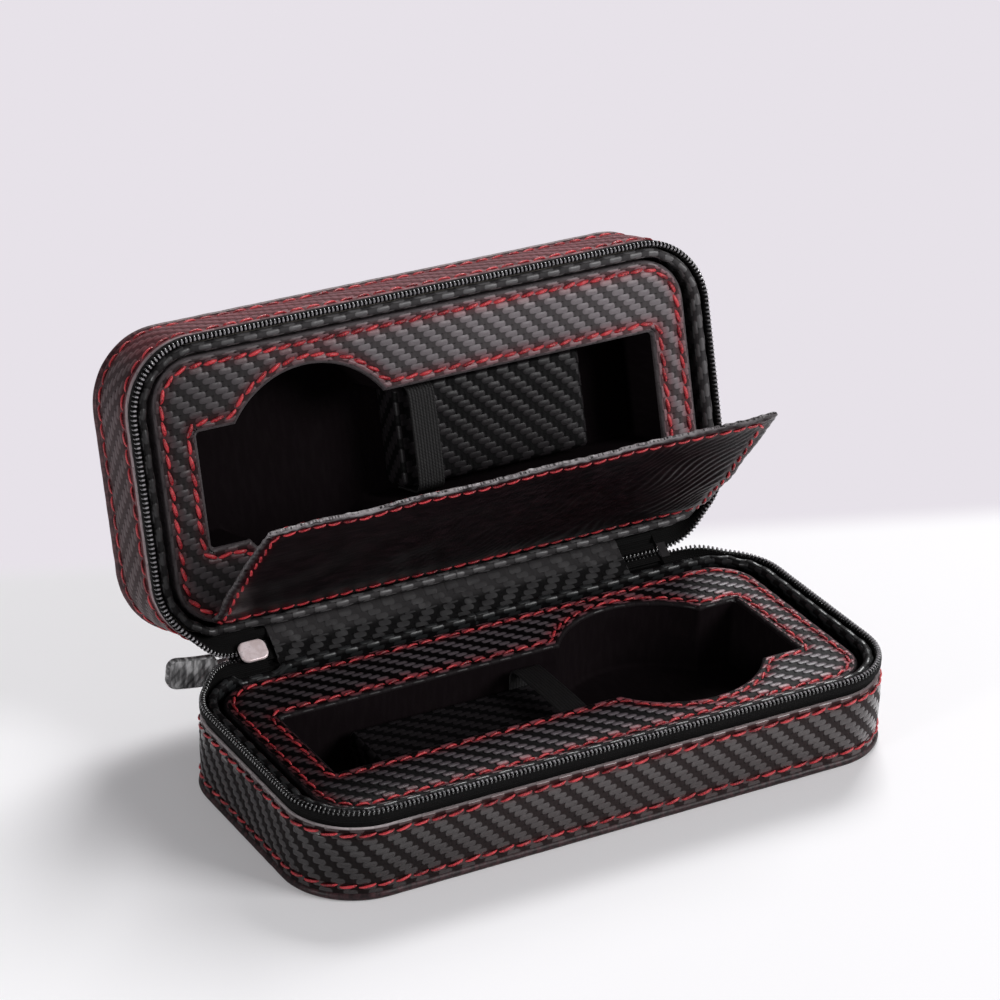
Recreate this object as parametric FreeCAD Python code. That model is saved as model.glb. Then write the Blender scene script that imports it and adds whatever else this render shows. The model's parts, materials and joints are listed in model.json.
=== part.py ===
"""Zip-round travel case for two watches, standing open.

Two padded trays in leatherette shells, joined by a soft spine. The lid leans back past upright, a
divider flap hangs off its tray, and the zip slider is parked at the left end of the spine.
Frame: origin at the middle of the base's underside, +X along the spine, +Y to the spine, +Z up.
Each half is drawn as the base lies, with its outside face down at zero height. The lid is the base
turned half a turn about the case's middle, so that its watch well lies at the other end.
Spine, flap and slider are drawn on the shut case, and each piece is then swung to the open case.
"""
import FreeCAD, Part
import math
import os

Vector = FreeCAD.Vector
X_AXIS = Vector(1, 0, 0)
Y_AXIS = Vector(0, 1, 0)
Z_AXIS = Vector(0, 0, 1)

# The whole case
case_length = 200.0
case_width = 95.0
corner_radius = 23.0
wall_height = 23.7
spine_width = 12.0
open_angle = 105.68
overrun = 5.0
soft_gap = 0.3
seat_gap = 0.1
closing_gap = 0.4
level_slack = 0.01
seam_slack = 0.001

# Shell of each half: a bottom skin, a rolled welt round its edge, a wall skin and two boards
skin_thickness = 1.2
welt_radius = 1.3
welt_proud = 0.6
bottom_board_thickness = 1.5
wall_board_thickness = 2.2
board_below_seam = 0.4
thread_width = 0.8
thread_rise = 0.3
wall_thread_from_edge = 2.2

# Zip: woven tape sewn behind the wall's top edge, with the coil along the tape's own edge
tape_thickness = 0.8
tape_margin = 6.0
coil_height = 3.4
coil_depth = 2.2
coil_inset = 0.4
coil_round = 0.8
tape_stop_gap = 1.0

# Inner collar: a leatherette strip inside the tape with a rolled top
collar_inset = 4.5
collar_roll_radius = 1.4
collar_thickness = 1.4
collar_rise = 4.5
collar_depth = 12.0

# Tray panel, with its foam block and its cut-out for one watch
tray_rise = 2.6
tray_thickness = 1.6
tray_inset_ends = 8.4
tray_inset_sides = 7.0
tray_corner_radius = 14.5
tray_thread_inset = 2.9
moat_depth = 7.0
well_half_width = 17.7
well_strap_inset = 21.0
well_short_inset = 21.5
well_corner_radius = 1.5
watch_inset = 59.5
watch_radius = 30.7
well_thread_offset = 2.8
liner_thickness = 1.0

# Strap pad and the elastic band over it
pad_end_gap = 21.0
pad_stand_off = 1.5
pad_side_gap = 1.6
pad_below_tray = 9.6
pad_round = 2.2
pad_top_round = 2.0
band_inset = 6.3
band_width = 9.0
band_thickness = 0.9
band_gap = 5.6
band_tuck = 8.5
band_shoulder_radius = 3.0

# Spine: cover, interlining and lining, between the two fold lines
spine_left_inset = 35.3
spine_right_inset = 42.0
spine_cover_thickness = 1.0
spine_padding_thickness = 0.8
spine_lining_thickness = 0.8

# Divider flap
flap_end_inset = 15.2
flap_width = 67.0
flap_ply_thickness = 0.6
flap_board_thickness = 0.6
flap_board_margin = 5.0
flap_open_angle = 54.0
flap_free_radius = 3.0
flap_hinge_radius = 8.0
flap_hinge_inset = 0.4
flap_thread_inset = 2.8
flap_clearance = 2 * thread_rise + soft_gap
hinge_strip_thickness = 0.7
hinge_strip_inset = 9.8

# Zip slider, its bridge and its pull
slider_length = 9.0
slider_width = 6.8
slider_plate = 1.3
slider_play = 0.4
slider_round = 2.4
slider_edge_round = 0.6
slider_end_gap = 2.5
slider_travel = 4.0
slider_notch_depth = 5.6
diamond_length = 3.6
diamond_width = 2.6
diamond_round = 1.0
diamond_offset = -1.4
bridge_length = 6.4
bridge_width = 2.2
bridge_thickness = 1.1
bridge_gap = 1.5
link_bar_radius = 0.55
link_length = 8.5
link_arm_width = 1.2
link_arm_gap = 0.3
link_end_length = 2.2
pull_angle = 10.0
tab_length = 16.0
tab_width = 10.0
tab_thickness = 2.2
tab_round = 3.2
tab_link_gap = 0.3
tab_lift = 13.0

# Joined ends of the zip, which lie in the spine, with the chain and the stop at the right end
tail_width = 6.0
tail_in_spine = 6.0
tail_out_left = 4.0
tail_out_right = 16.0
chain_width = 5.0
stop_length = 3.0
stop_width = 5.0
stop_wall = 0.7
stop_gap = 0.3

# Worked out from the sizes above
half_length = case_length / 2
half_width = case_width / 2
half_height = wall_height + spine_width / 2
zip_top = half_height - closing_gap / 2
tape_top = zip_top - coil_height
tape_inset = welt_proud + skin_thickness
tray_top = wall_height + tray_rise
tray_half_x = half_length - tray_inset_ends
tray_half_y = half_width - tray_inset_sides
well_strap_end = half_length - well_strap_inset
well_short_end = half_length - well_short_inset
watch_centre = half_length - watch_inset
pad_end = well_strap_end - pad_end_gap
pad_near_end = watch_centre - watch_radius - pad_stand_off
band_centre = pad_near_end - band_inset
foam_top = tray_top - tray_thickness
board_top = skin_thickness + bottom_board_thickness
floor_top = board_top + liner_thickness
wall_board_inset = tape_inset + wall_board_thickness
collar_top = wall_height + collar_rise
collar_gap = half_width - collar_inset - collar_roll_radius - tray_half_y
flap_length = case_length - 2 * flap_end_inset
hinge_strip_length = flap_length - 2 * hinge_strip_inset
flap_thickness = 2 * flap_ply_thickness + flap_board_thickness
flap_pivot_y = tray_half_y - flap_hinge_inset
flap_pivot_z = 2 * half_height - tray_top - flap_clearance - flap_thickness / 2
spine_left_end = half_length - spine_left_inset
spine_right_end = half_length - spine_right_inset
tape_end_right = spine_right_end + tail_out_right + tape_stop_gap
slider_centre_x = -(spine_left_end + slider_end_gap + slider_length / 2)
channel_depth = coil_depth + coil_inset + slider_play
tape_end_left = slider_length / 2 + slider_travel + soft_gap - slider_centre_x
fold_half = open_angle / 2


def slab(half_x, half_y, radius, low, high):
    """Upright block with rounded corners round the Z axis."""
    block = Part.makeBox(2 * half_x, 2 * half_y, high - low, Vector(-half_x, -half_y, low))
    upright = [edge for edge in block.Edges if edge.BoundBox.ZLength > (high - low) / 2]
    return block.makeFillet(radius, upright)


def case_slab(inset, low, high):
    """Block with the case's outline, inset all round."""
    return slab(half_length - inset, half_width - inset, corner_radius - inset, low, high)


def case_ring(outer_inset, inner_inset, low, high):
    """Wall that follows the case's outline between two insets."""
    inside = case_slab(inner_inset, low - overrun, high + overrun)
    return case_slab(outer_inset, low, high).cut(inside)


def block(low, high):
    """Box between two opposite corners."""
    size = high - low
    return Part.makeBox(size.x, size.y, size.z, low)


def flat_wire(solid, height):
    """Outline of a solid's flat face at one height."""
    for face in solid.Faces:
        box = face.BoundBox
        if box.ZLength < level_slack and abs(box.ZMin - height) < level_slack:
            return face.OuterWire
    raise ValueError("no flat face at this height")


def rolled_edge(inset, height, radius):
    """Round cord that follows the case's outline."""
    path = flat_wire(case_slab(inset, height, height + radius), height)
    start = Vector(0, inset - half_width, height)
    profile = Part.Wire([Part.makeCircle(radius, start, X_AXIS)])
    cord = path.makePipeShell([profile], True, True)
    cord.fix(seam_slack, seam_slack, seam_slack)
    return cord


def level_edges(solid, height):
    """Edges of a solid that lie at one height."""
    return [
        edge
        for edge in solid.Edges
        if edge.BoundBox.ZLength < level_slack and abs(edge.BoundBox.ZMin - height) < level_slack
    ]


def well_block(growth, low, high):
    """Outline of the watch cut-out, grown all round: a long strap slot and a round watch bay."""
    slot_length = well_strap_end + well_short_end + 2 * growth
    slot_half_width = well_half_width + growth
    slot_middle = (well_short_end - well_strap_end) / 2
    slot = slab(slot_length / 2, slot_half_width, well_corner_radius, low, high)
    slot.translate(Vector(slot_middle, 0, 0))
    bay = Part.makeCylinder(watch_radius + growth, high - low, Vector(watch_centre, 0, low))
    return slot.fuse(bay).removeSplitter()


def cut_for_zip_end(ring, ends):
    """Open a zip ring at the back, between its two ends' distances from the middle."""
    low = Vector(-ends[0], 0, -overrun)
    high = Vector(ends[1], half_width + overrun, half_height + overrun)
    return ring.cut(block(low, high))


def bottom_skin():
    """Leatherette on the outside face, flat on the table."""
    return case_slab(2 * welt_radius, 0, skin_thickness)


def edge_welt():
    """Rolled welt round the outside face's edge."""
    return rolled_edge(welt_radius, welt_radius, welt_radius)


def side_wall():
    """Leatherette wall skin from the welt to the zip seam."""
    return case_ring(welt_proud, tape_inset, 2 * welt_radius, wall_height)


def bottom_board():
    """Stiff board inside the outside face."""
    return case_slab(2 * welt_radius, skin_thickness, board_top)


def wall_board():
    """Stiff board inside the wall, thinner where the zip tape is sewn in."""
    top = wall_height - board_below_seam
    full = case_ring(tape_inset, wall_board_inset, board_top, top)
    rebate = case_ring(tape_inset, tape_inset + tape_thickness, wall_height - tape_margin, top)
    return full.cut(rebate)


def zip_tape(ends):
    """Woven tape that stands up from the wall's top edge."""
    inner = tape_inset + tape_thickness
    ring = case_ring(tape_inset, inner, wall_height - tape_margin, tape_top)
    return cut_for_zip_end(ring, ends)


def zip_coil(ends):
    """Coil of the zip along the tape's edge."""
    ring = case_ring(coil_inset, coil_inset + coil_depth, tape_top, zip_top)
    ring = ring.makeFillet(coil_round, level_edges(ring, zip_top))
    return cut_for_zip_end(ring, ends)


def slider_notch():
    """Room for the slider's inner plate, over its travel, in the rolled collars."""
    reach = slider_length / 2 + soft_gap
    low_z = half_height - slider_width / 2 - soft_gap
    low = Vector(slider_centre_x - reach - slider_travel, half_width - slider_notch_depth, low_z)
    return block(low, Vector(slider_centre_x + reach, half_width, half_height + overrun))


def inner_collar():
    """Leatherette collar inside the tape, with a rolled top and its strip down into the tray."""
    roll_height = collar_top - collar_roll_radius
    strip_bottom = wall_height - collar_depth
    strip = case_ring(wall_board_inset, wall_board_inset + collar_thickness, strip_bottom, roll_height)
    roll = rolled_edge(collar_inset, roll_height, collar_roll_radius)
    return strip.fuse(roll).removeSplitter()


def foam_insert():
    """Foam block that carries the tray panel, with the watch well cut through it."""
    ledge = tray_top - moat_depth
    lower = case_slab(wall_board_inset + collar_thickness, board_top, ledge)
    upper = slab(tray_half_x, tray_half_y, tray_corner_radius, ledge, foam_top)
    well = well_block(liner_thickness, board_top - overrun, foam_top + overrun)
    return lower.fuse(upper).removeSplitter().cut(well)


def well_liner():
    """Smooth tub in the foam's well."""
    outside = well_block(liner_thickness, board_top, foam_top)
    return outside.cut(well_block(0, floor_top, foam_top + overrun))


def tray_panel():
    """Leatherette-covered panel with the watch cut-out."""
    panel = slab(tray_half_x, tray_half_y, tray_corner_radius, foam_top, tray_top)
    return panel.cut(well_block(0, foam_top - overrun, tray_top + overrun))


def strap_pad():
    """Padded block that the strap lies on."""
    top = tray_top - pad_below_tray
    half_pad = (pad_end + pad_near_end) / 2
    pad = slab(half_pad, well_half_width - pad_side_gap, pad_round, floor_top, top)
    pad = pad.makeFillet(pad_top_round, level_edges(pad, top))
    pad.translate(Vector((pad_near_end - pad_end) / 2, 0, 0))
    return pad


def elastic_band():
    """Elastic band arched over the pad, its ends tucked down the pad's sides."""
    pad_top = tray_top - pad_below_tray
    pad_half = well_half_width - pad_side_gap
    inner_half = pad_half + seat_gap
    outer_half = inner_half + band_thickness
    arch_height = band_gap + band_tuck
    middle = Vector(band_centre, 0, pad_top + band_gap - arch_height)

    def arch(half_span, height, radius, length):
        solid = slab(half_span, height, radius, -length / 2, length / 2)
        solid.rotate(Vector(0, 0, 0), Z_AXIS, 90)
        solid.rotate(Vector(0, 0, 0), Y_AXIS, 90)
        solid.translate(middle)
        return solid

    outer_radius = band_shoulder_radius + band_thickness
    outside = arch(outer_half, arch_height + band_thickness, outer_radius, band_width)
    inside = arch(inner_half, arch_height, band_shoulder_radius, band_width + overrun)
    below = Vector(-half_length, -half_width, middle.z - 2 * arch_height)
    lower = block(below, Vector(half_length, half_width, middle.z))
    return outside.cut(inside).cut(lower)


def wall_thread():
    """Two rows of thread round the wall, near the seam and near the welt."""
    outer = welt_proud - thread_rise
    rows = []
    for height in (2 * welt_radius + wall_thread_from_edge, wall_height - wall_thread_from_edge):
        low = height - thread_width / 2
        rows.append(case_ring(outer, welt_proud, low, low + thread_width))
    return Part.Compound(rows)


def tray_thread():
    """Thread round the tray panel's edge and round its cut-out."""
    top = tray_top + thread_rise
    half_thread = thread_width / 2

    def edge_block(inset, low, high):
        radius = tray_corner_radius - inset
        return slab(tray_half_x - inset, tray_half_y - inset, radius, low, high)

    inner = edge_block(tray_thread_inset + half_thread, tray_top - overrun, top + overrun)
    outer_row = edge_block(tray_thread_inset - half_thread, tray_top, top).cut(inner)
    hole = well_block(well_thread_offset - half_thread, tray_top - overrun, top + overrun)
    well_row = well_block(well_thread_offset + half_thread, tray_top, top).cut(hole)
    return Part.Compound([outer_row, well_row])


def spine_layer(outer_inset, thickness, left_end, right_end):
    """One layer of the spine on the shut case."""
    low = Vector(-left_end, half_width - outer_inset - thickness, wall_height + soft_gap)
    high = Vector(right_end, half_width - outer_inset, wall_height + spine_width - soft_gap)
    return block(low, high)


def spine_cover():
    """Outer leatherette of the spine."""
    return spine_layer(0, spine_cover_thickness, spine_left_end, spine_right_end)


def spine_padding():
    """Interlining of the spine, shorter by the tape ends."""
    left = spine_left_end - tail_in_spine
    right = spine_right_end - tail_in_spine
    return spine_layer(spine_cover_thickness, spine_padding_thickness, left, right)


def spine_lining():
    """Inner leatherette of the spine."""
    inset = spine_cover_thickness + spine_padding_thickness
    return spine_layer(inset, spine_lining_thickness, spine_left_end, spine_right_end)


def tape_tail(start_x, end_x):
    """Joined end of the zip tape, between the spine's cover and lining."""
    outer = half_width - spine_cover_thickness
    low = Vector(start_x, outer - spine_padding_thickness, half_height - tail_width / 2)
    high = Vector(end_x, outer, half_height + tail_width / 2)
    return block(low, high)


def zip_tails():
    """Both joined ends of the tape: one in the slider's mouth, one in the end stop."""
    left = tape_tail(-spine_left_end - tail_out_left, tail_in_spine - spine_left_end)
    right = tape_tail(spine_right_end - tail_in_spine, spine_right_end + tail_out_right)
    return Part.Compound([left, right])


def zip_chain():
    """Joined coils on the tape's right end, from the spine's lining to the end stop."""
    end = spine_right_end + tail_out_right - stop_length - stop_gap
    low = Vector(spine_right_end, half_width - coil_inset - coil_depth, half_height - chain_width / 2)
    high = Vector(end, half_width - coil_inset, half_height + chain_width / 2)
    return block(low, high).cut(tape_tail(0, end))


def zip_end_stop():
    """Crimped stop round the tape's right end, where the two tapes part."""
    tape_middle = half_width - spine_cover_thickness - spine_padding_thickness / 2
    reach = spine_padding_thickness / 2 + stop_wall
    end = spine_right_end + tail_out_right
    low = Vector(end - stop_length, tape_middle - reach, half_height - stop_width / 2)
    high = Vector(end, tape_middle + reach, half_height + stop_width / 2)
    return block(low, high).cut(tape_tail(0, end))


def flap_sheet(inset, low, high):
    """Flat sheet of the flap, lying along the lid's tray on the shut case."""
    half_x = flap_length / 2 - inset
    half_y = (flap_width - inset) / 2
    hinge_half = block(Vector(-half_length, 0, low), Vector(half_length, half_width, high))
    near = slab(half_x, half_y, flap_hinge_radius, low, high).common(hinge_half)
    far = slab(half_x, half_y, flap_free_radius, low, high).cut(hinge_half)
    sheet = near.fuse(far).removeSplitter()
    sheet.translate(Vector(0, flap_pivot_y - half_y, 0))
    return sheet


def flap_front_ply():
    """Ply that faces the user, with the rolled hinge edge."""
    low = flap_pivot_z - flap_thickness / 2
    ply = flap_sheet(0, low, low + flap_ply_thickness)
    half_x = flap_length / 2 - flap_hinge_radius
    start = Vector(-half_x, flap_pivot_y, flap_pivot_z)
    roll = Part.makeCylinder(flap_thickness / 2, 2 * half_x, start, X_AXIS)
    behind = Vector(-half_length, flap_pivot_y - overrun, flap_pivot_z - overrun)
    keep_off = block(behind, Vector(half_length, flap_pivot_y, flap_pivot_z + overrun))
    return ply.fuse(roll.cut(keep_off)).removeSplitter()


def flap_back_ply():
    """Ply that faces the lid's tray."""
    high = flap_pivot_z + flap_thickness / 2
    return flap_sheet(0, high - flap_ply_thickness, high)


def flap_board():
    """Thin board between the flap's plies, short of their hinge edge."""
    low = flap_pivot_z - flap_board_thickness / 2
    board = flap_sheet(thread_width, low, low + flap_board_thickness)
    near = Vector(-half_length, flap_pivot_y - flap_board_margin, low - overrun)
    return board.cut(block(near, Vector(half_length, half_width, low + overrun)))


def flap_thread():
    """Thread round the flap, on both of its faces."""
    rows = []
    half_thread = thread_width / 2
    for low in (flap_pivot_z - flap_thickness / 2 - thread_rise, flap_pivot_z + flap_thickness / 2):
        high = low + thread_rise
        outer = flap_frame(flap_thread_inset - half_thread, low, high)
        inner = flap_frame(flap_thread_inset + half_thread, low - overrun, high + overrun)
        rows.append(outer.cut(inner))
    return Part.Compound(rows)


def flap_frame(inset, low, high):
    """Block inset from the flap's four edges."""
    half_y = flap_width / 2 - inset
    frame = slab(flap_length / 2 - inset, half_y, flap_free_radius, low, high)
    frame.translate(Vector(0, flap_pivot_y - flap_width / 2, 0))
    return frame


def flap_hinge_strip():
    """Leatherette strip that carries the flap, glued in the gap behind the lid's tray."""
    start_y = tray_half_y + (collar_gap - hinge_strip_thickness) / 2
    low = Vector(-hinge_strip_length / 2, start_y, flap_pivot_z + flap_thickness / 2 + soft_gap)
    moat_floor = 2 * half_height - tray_top + moat_depth
    return block(low, Vector(hinge_strip_length / 2, start_y + hinge_strip_thickness, moat_floor))


def slider_point(along, out, up):
    """Place on the shut case, from the slider's middle, the case's back and its middle height."""
    return Vector(slider_centre_x + along, half_width + out, half_height + up)


def rounded_plate(out_low, out_high):
    """One of the slider's two plates, with softened edges."""
    plate = slab(slider_length / 2, slider_width / 2, slider_round, out_low, out_high)
    rims = level_edges(plate, out_low) + level_edges(plate, out_high)
    plate = plate.makeFillet(slider_edge_round, rims)
    plate.rotate(Vector(0, 0, 0), X_AXIS, -90)
    plate.translate(slider_point(0, 0, 0))
    return plate


def zip_slider():
    """Slider body: inner plate, outer plate and the diamond that parts the coils."""
    inner = rounded_plate(-channel_depth - slider_plate, -channel_depth)
    outer = rounded_plate(0, slider_plate)
    inside, outside = -channel_depth - slider_plate / 2, slider_plate / 2
    post = slab(diamond_length / 2, diamond_width / 2, diamond_round, inside, outside)
    post.rotate(Vector(0, 0, 0), X_AXIS, -90)
    post.translate(slider_point(diamond_offset, 0, 0))
    return inner.fuse([outer, post]).removeSplitter()


def zip_slider_bridge():
    """Bridge on the slider's outer plate that holds the pull."""
    height = bridge_gap + bridge_thickness
    foot = slider_point(-bridge_length / 2, slider_plate, -bridge_width / 2)
    outside = block(foot, foot + Vector(bridge_length, height, bridge_width))
    crown = [
        edge
        for edge in outside.Edges
        if edge.BoundBox.ZLength > bridge_width / 2 and edge.BoundBox.YMin > foot.y + height / 2
    ]
    outside = outside.makeFillet(bridge_thickness, crown)
    gap_low = foot + Vector(bridge_thickness, -overrun, -overrun)
    gap_high = foot + Vector(bridge_length - bridge_thickness, bridge_gap, bridge_width + overrun)
    return outside.cut(block(gap_low, gap_high))


def pull_axis_point():
    """Middle of the link's cross bar, under the bridge."""
    along = -bridge_length / 2 + bridge_thickness + link_bar_radius + link_arm_gap
    return slider_point(along, slider_plate + bridge_gap / 2, 0)


def pull_link():
    """Metal link: a cross bar under the bridge, two arms and an end plate."""
    centre = pull_axis_point()
    arm_inner = bridge_width / 2 + link_arm_gap
    arm_outer = arm_inner + link_arm_width
    bar_start = centre - Vector(0, 0, arm_outer)
    link = Part.makeCylinder(link_bar_radius, 2 * arm_outer, bar_start, Z_AXIS)
    for low in (-arm_outer, arm_inner):
        start = centre + Vector(-link_length, -link_bar_radius, low)
        link = link.fuse(block(start, start + Vector(link_length, 2 * link_bar_radius, link_arm_width)))
    end_start = centre + Vector(-link_length, -link_bar_radius, -arm_outer)
    end_size = Vector(link_end_length, 2 * link_bar_radius, 2 * arm_outer)
    link = link.fuse(block(end_start, end_start + end_size)).removeSplitter()
    link.rotate(centre, Z_AXIS, -pull_angle)
    return link


def pull_tab():
    """Leatherette tab beyond the link, turned so that it stands upright on the open case."""
    centre = pull_axis_point()
    tab = slab(tab_length / 2, tab_width / 2, tab_round, -tab_thickness / 2, tab_thickness / 2)
    tab.translate(Vector(-tab_length / 2, 0, 0))
    tab.rotate(Vector(0, 0, 0), Z_AXIS, -tab_lift)
    tab.rotate(Vector(0, 0, 0), X_AXIS, 90 + fold_half)
    tab.translate(centre - Vector(link_length + tab_link_gap, 0, 0))
    tab.rotate(centre, Z_AXIS, -pull_angle)
    return tab


def swing_spine(shape):
    """Swing a piece of the shut spine to the open case."""
    swung = shape.copy()
    swung.rotate(Vector(0, half_width, wall_height), X_AXIS, -fold_half)
    return swung


def swing_lid(shape):
    """Swing a piece of the shut lid to the open case, about both fold lines."""
    swung = shape.copy()
    swung.rotate(Vector(0, half_width, wall_height + spine_width), X_AXIS, -fold_half)
    return swing_spine(swung)


def swing_flap(shape):
    """Swing a piece of the flat flap off the lid's tray, then with the lid."""
    swung = shape.copy()
    swung.rotate(Vector(0, flap_pivot_y, flap_pivot_z), X_AXIS, flap_open_angle)
    return swing_lid(swung)


def as_lid(shape):
    """Turn a piece of the base into the same piece of the lid, and open it."""
    turned = shape.copy()
    turned.rotate(Vector(0, 0, half_height), Y_AXIS, 180)
    return swing_lid(turned)


def half_pieces(ends):
    """Pieces that both halves have, as the base holds them, with the zip's two ends."""
    return {
        "bottom_skin": bottom_skin(),
        "edge_welt": edge_welt(),
        "side_wall": side_wall(),
        "wall_thread": wall_thread(),
        "bottom_board": bottom_board(),
        "wall_board": wall_board(),
        "zip_tape": zip_tape(ends),
        "zip_coil": zip_coil(ends),
        "inner_collar": inner_collar(),
        "foam_insert": foam_insert(),
        "well_liner": well_liner(),
        "tray_panel": tray_panel(),
        "tray_thread": tray_thread(),
        "strap_pad": strap_pad(),
        "elastic_band": elastic_band(),
    }


def all_pieces():
    """Every piece of the case, by name, where it stands on the open case."""
    pieces = {}
    for name, shape in half_pieces((tape_end_left, tape_end_right)).items():
        pieces["base_" + name] = shape
    for name, shape in half_pieces((tape_end_right, tape_end_left)).items():
        pieces["lid_" + name.replace("bottom", "top")] = as_lid(shape)
    notch = slider_notch()
    lid_notch = swing_lid(notch.mirror(Vector(0, 0, half_height), Z_AXIS))
    pieces["base_inner_collar"] = pieces["base_inner_collar"].cut(notch)
    pieces["lid_inner_collar"] = pieces["lid_inner_collar"].cut(lid_notch)
    for maker in (spine_cover, spine_padding, spine_lining, zip_tails, zip_chain, zip_end_stop):
        pieces[maker.__name__] = swing_spine(maker())
    for maker in (zip_slider, zip_slider_bridge, pull_link, pull_tab):
        pieces[maker.__name__] = swing_spine(maker())
    pieces["flap_hinge_strip"] = swing_lid(flap_hinge_strip())
    for maker in (flap_front_ply, flap_back_ply, flap_board, flap_thread):
        pieces[maker.__name__] = swing_flap(maker())
    return pieces


def main():
    """Write one STEP file for each piece."""
    os.makedirs("parts", exist_ok=True)
    for name, shape in all_pieces().items():
        shape.exportStep("parts/" + name + ".step")
        print(name, len(shape.Solids), "solids, valid", shape.isValid())


main()
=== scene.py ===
"""Finished surfaces of a zip-round travel case for two watches.

Leatherette skins with an embossed twill, red seams, the zip with its coils, two padded trays and the
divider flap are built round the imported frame. Each half is drawn as the base lies, in millimetres,
and the same drawing is placed again for the lid. Spine, flap and zip ends are drawn on the shut case
and then folded open about the frame's own joints.
"""
import json
import logging
import math
from collections.abc import Callable
from dataclasses import dataclass
from enum import Enum

import bmesh
import bpy
import numpy as np
from mathutils import Euler, Matrix, Vector
from mathutils.geometry import delaunay_2d_cdt


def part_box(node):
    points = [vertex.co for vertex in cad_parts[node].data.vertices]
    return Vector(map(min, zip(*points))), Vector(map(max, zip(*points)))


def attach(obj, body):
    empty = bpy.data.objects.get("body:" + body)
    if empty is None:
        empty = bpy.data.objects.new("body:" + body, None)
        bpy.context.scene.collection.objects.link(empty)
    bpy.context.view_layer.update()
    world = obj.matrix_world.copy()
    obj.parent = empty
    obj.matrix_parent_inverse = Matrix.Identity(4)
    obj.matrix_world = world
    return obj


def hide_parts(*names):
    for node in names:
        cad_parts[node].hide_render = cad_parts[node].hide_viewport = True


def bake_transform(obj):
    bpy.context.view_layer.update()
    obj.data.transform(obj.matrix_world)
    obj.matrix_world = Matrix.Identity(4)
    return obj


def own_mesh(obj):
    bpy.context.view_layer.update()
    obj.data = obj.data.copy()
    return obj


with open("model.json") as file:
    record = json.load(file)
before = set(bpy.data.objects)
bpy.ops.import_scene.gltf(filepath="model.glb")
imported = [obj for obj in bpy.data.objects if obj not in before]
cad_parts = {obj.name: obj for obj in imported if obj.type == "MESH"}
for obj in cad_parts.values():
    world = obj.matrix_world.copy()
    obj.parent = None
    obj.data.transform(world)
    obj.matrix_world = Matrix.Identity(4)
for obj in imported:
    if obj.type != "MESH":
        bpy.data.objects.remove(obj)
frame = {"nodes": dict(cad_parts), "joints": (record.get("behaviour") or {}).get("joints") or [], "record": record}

log = logging.getLogger("watch_case")
MM = 0.001
UV_NAME = "weave"
Array = np.ndarray
Field = Callable[[Array, Array], Array]
Shape = Callable[[Array], Array]
Spot = tuple[float, float]


# Numbers and fields


def smooth(low: float, high: float, value: Array) -> Array:
    """Smooth rise from 0 at low to 1 at high."""
    t = np.clip((np.asarray(value, float) - low) / (high - low), 0, 1)
    return t * t * (3 - 2 * t)


def bell(value: Array, width: float) -> Array:
    """Bell of height 1 round 0."""
    return np.exp(-((value / width) ** 2))


def node_box(node: str) -> tuple[Array, Array]:
    """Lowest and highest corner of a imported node, in millimetres."""
    low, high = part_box(node)
    return np.array(low) / MM, np.array(high) / MM


def ripple(size: float, seed: int, *axes: Array) -> Array:
    """Smooth irregular field made of a few plane waves.

    Args:
        size: Rough distance between bumps.
        seed: Chooses the waves.
        axes: Coordinates of the places, as arrays of one shape.

    Returns:
        One value for each place, mostly between -1 and 1.
    """
    waves = 12
    rng = np.random.default_rng(seed)
    places = np.stack([np.ravel(axis) for axis in axes], 1)
    total = np.zeros(len(places))
    for _ in range(waves):
        direction = rng.normal(size=len(axes))
        direction *= 2 * math.pi / (size * rng.uniform(0.7, 1.6) * np.linalg.norm(direction))
        total += np.sin(places @ direction + rng.uniform(0, 2 * math.pi))
    return (total / math.sqrt(waves)).reshape(np.shape(axes[0]))


@dataclass(frozen=True)
class Twill:
    """Embossed two-by-two twill: rows of rounded floats, each row one tow further to the left."""

    tow: float = 1.85
    repeat: int = 4
    round_share: float = 0.55
    fade_start: float = 1.6
    fade_length: float = 0.85
    band_height: float = 0.3
    band_start: Spot = (1.6, 2.2)
    band_end: Spot = (3.7, 4.0)
    row_round: float = 0.62

    def relief(self, u: Array, v: Array) -> Array:
        """Height of the embossing.

        Args:
            u: Distances along the rows, in millimetres.
            v: Distances across them.

        Returns:
            Heights from 0 to 1.
        """
        row = np.floor(v / self.tow)
        across = 2 * (v / self.tow - row) - 1
        along = np.mod(u / self.tow + row, self.repeat)
        start = np.maximum(0, 1 - along / self.round_share)
        end = np.maximum(0, (along - self.fade_start) / self.fade_length)
        puff = np.sqrt(np.maximum(0, 1 - across**2 * self.row_round - start**2 - end**2))
        column = u / self.tow - np.floor(u / self.tow)
        band = self.band_height * (1 - 0.4 * (2 * column - 1) ** 2)
        return np.maximum(puff, band * smooth(*self.band_start, along) * (1 - smooth(*self.band_end, along)))


TWILL = Twill()
CASE_END = -0.1
FINE = TWILL.tow / 4
COARSE = TWILL.tow / 3
CORNER_RADIUS = 23.0


# Folding, read from the frame


def turn(line: Vector, degrees: float) -> Matrix:
    """Rotation about a line along X through a point."""
    spin = Matrix.Rotation(math.radians(degrees), 4, "X")
    return Matrix.Translation(line) @ spin @ Matrix.Translation(-line)


def swung(points: Array, line: Vector, degrees: Array) -> Array:
    """Turn each point by its own angle about a line along X.

    Args:
        points: Places, in an array of any shape.
        line: A point of the line.
        degrees: Angle of each place.

    Returns:
        The turned places.
    """
    angle = np.radians(degrees)
    y, z = points[..., 1] - line.y, points[..., 2] - line.z
    out = points.copy()
    out[..., 1] = line.y + y * np.cos(angle) - z * np.sin(angle)
    out[..., 2] = line.z + y * np.sin(angle) + z * np.cos(angle)
    return out


def moved(matrix: Matrix, points: Array) -> Array:
    """Apply a matrix to points of any array shape."""
    m = np.array(matrix)
    return points @ m[:3, :3].T + m[:3, 3]


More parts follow.
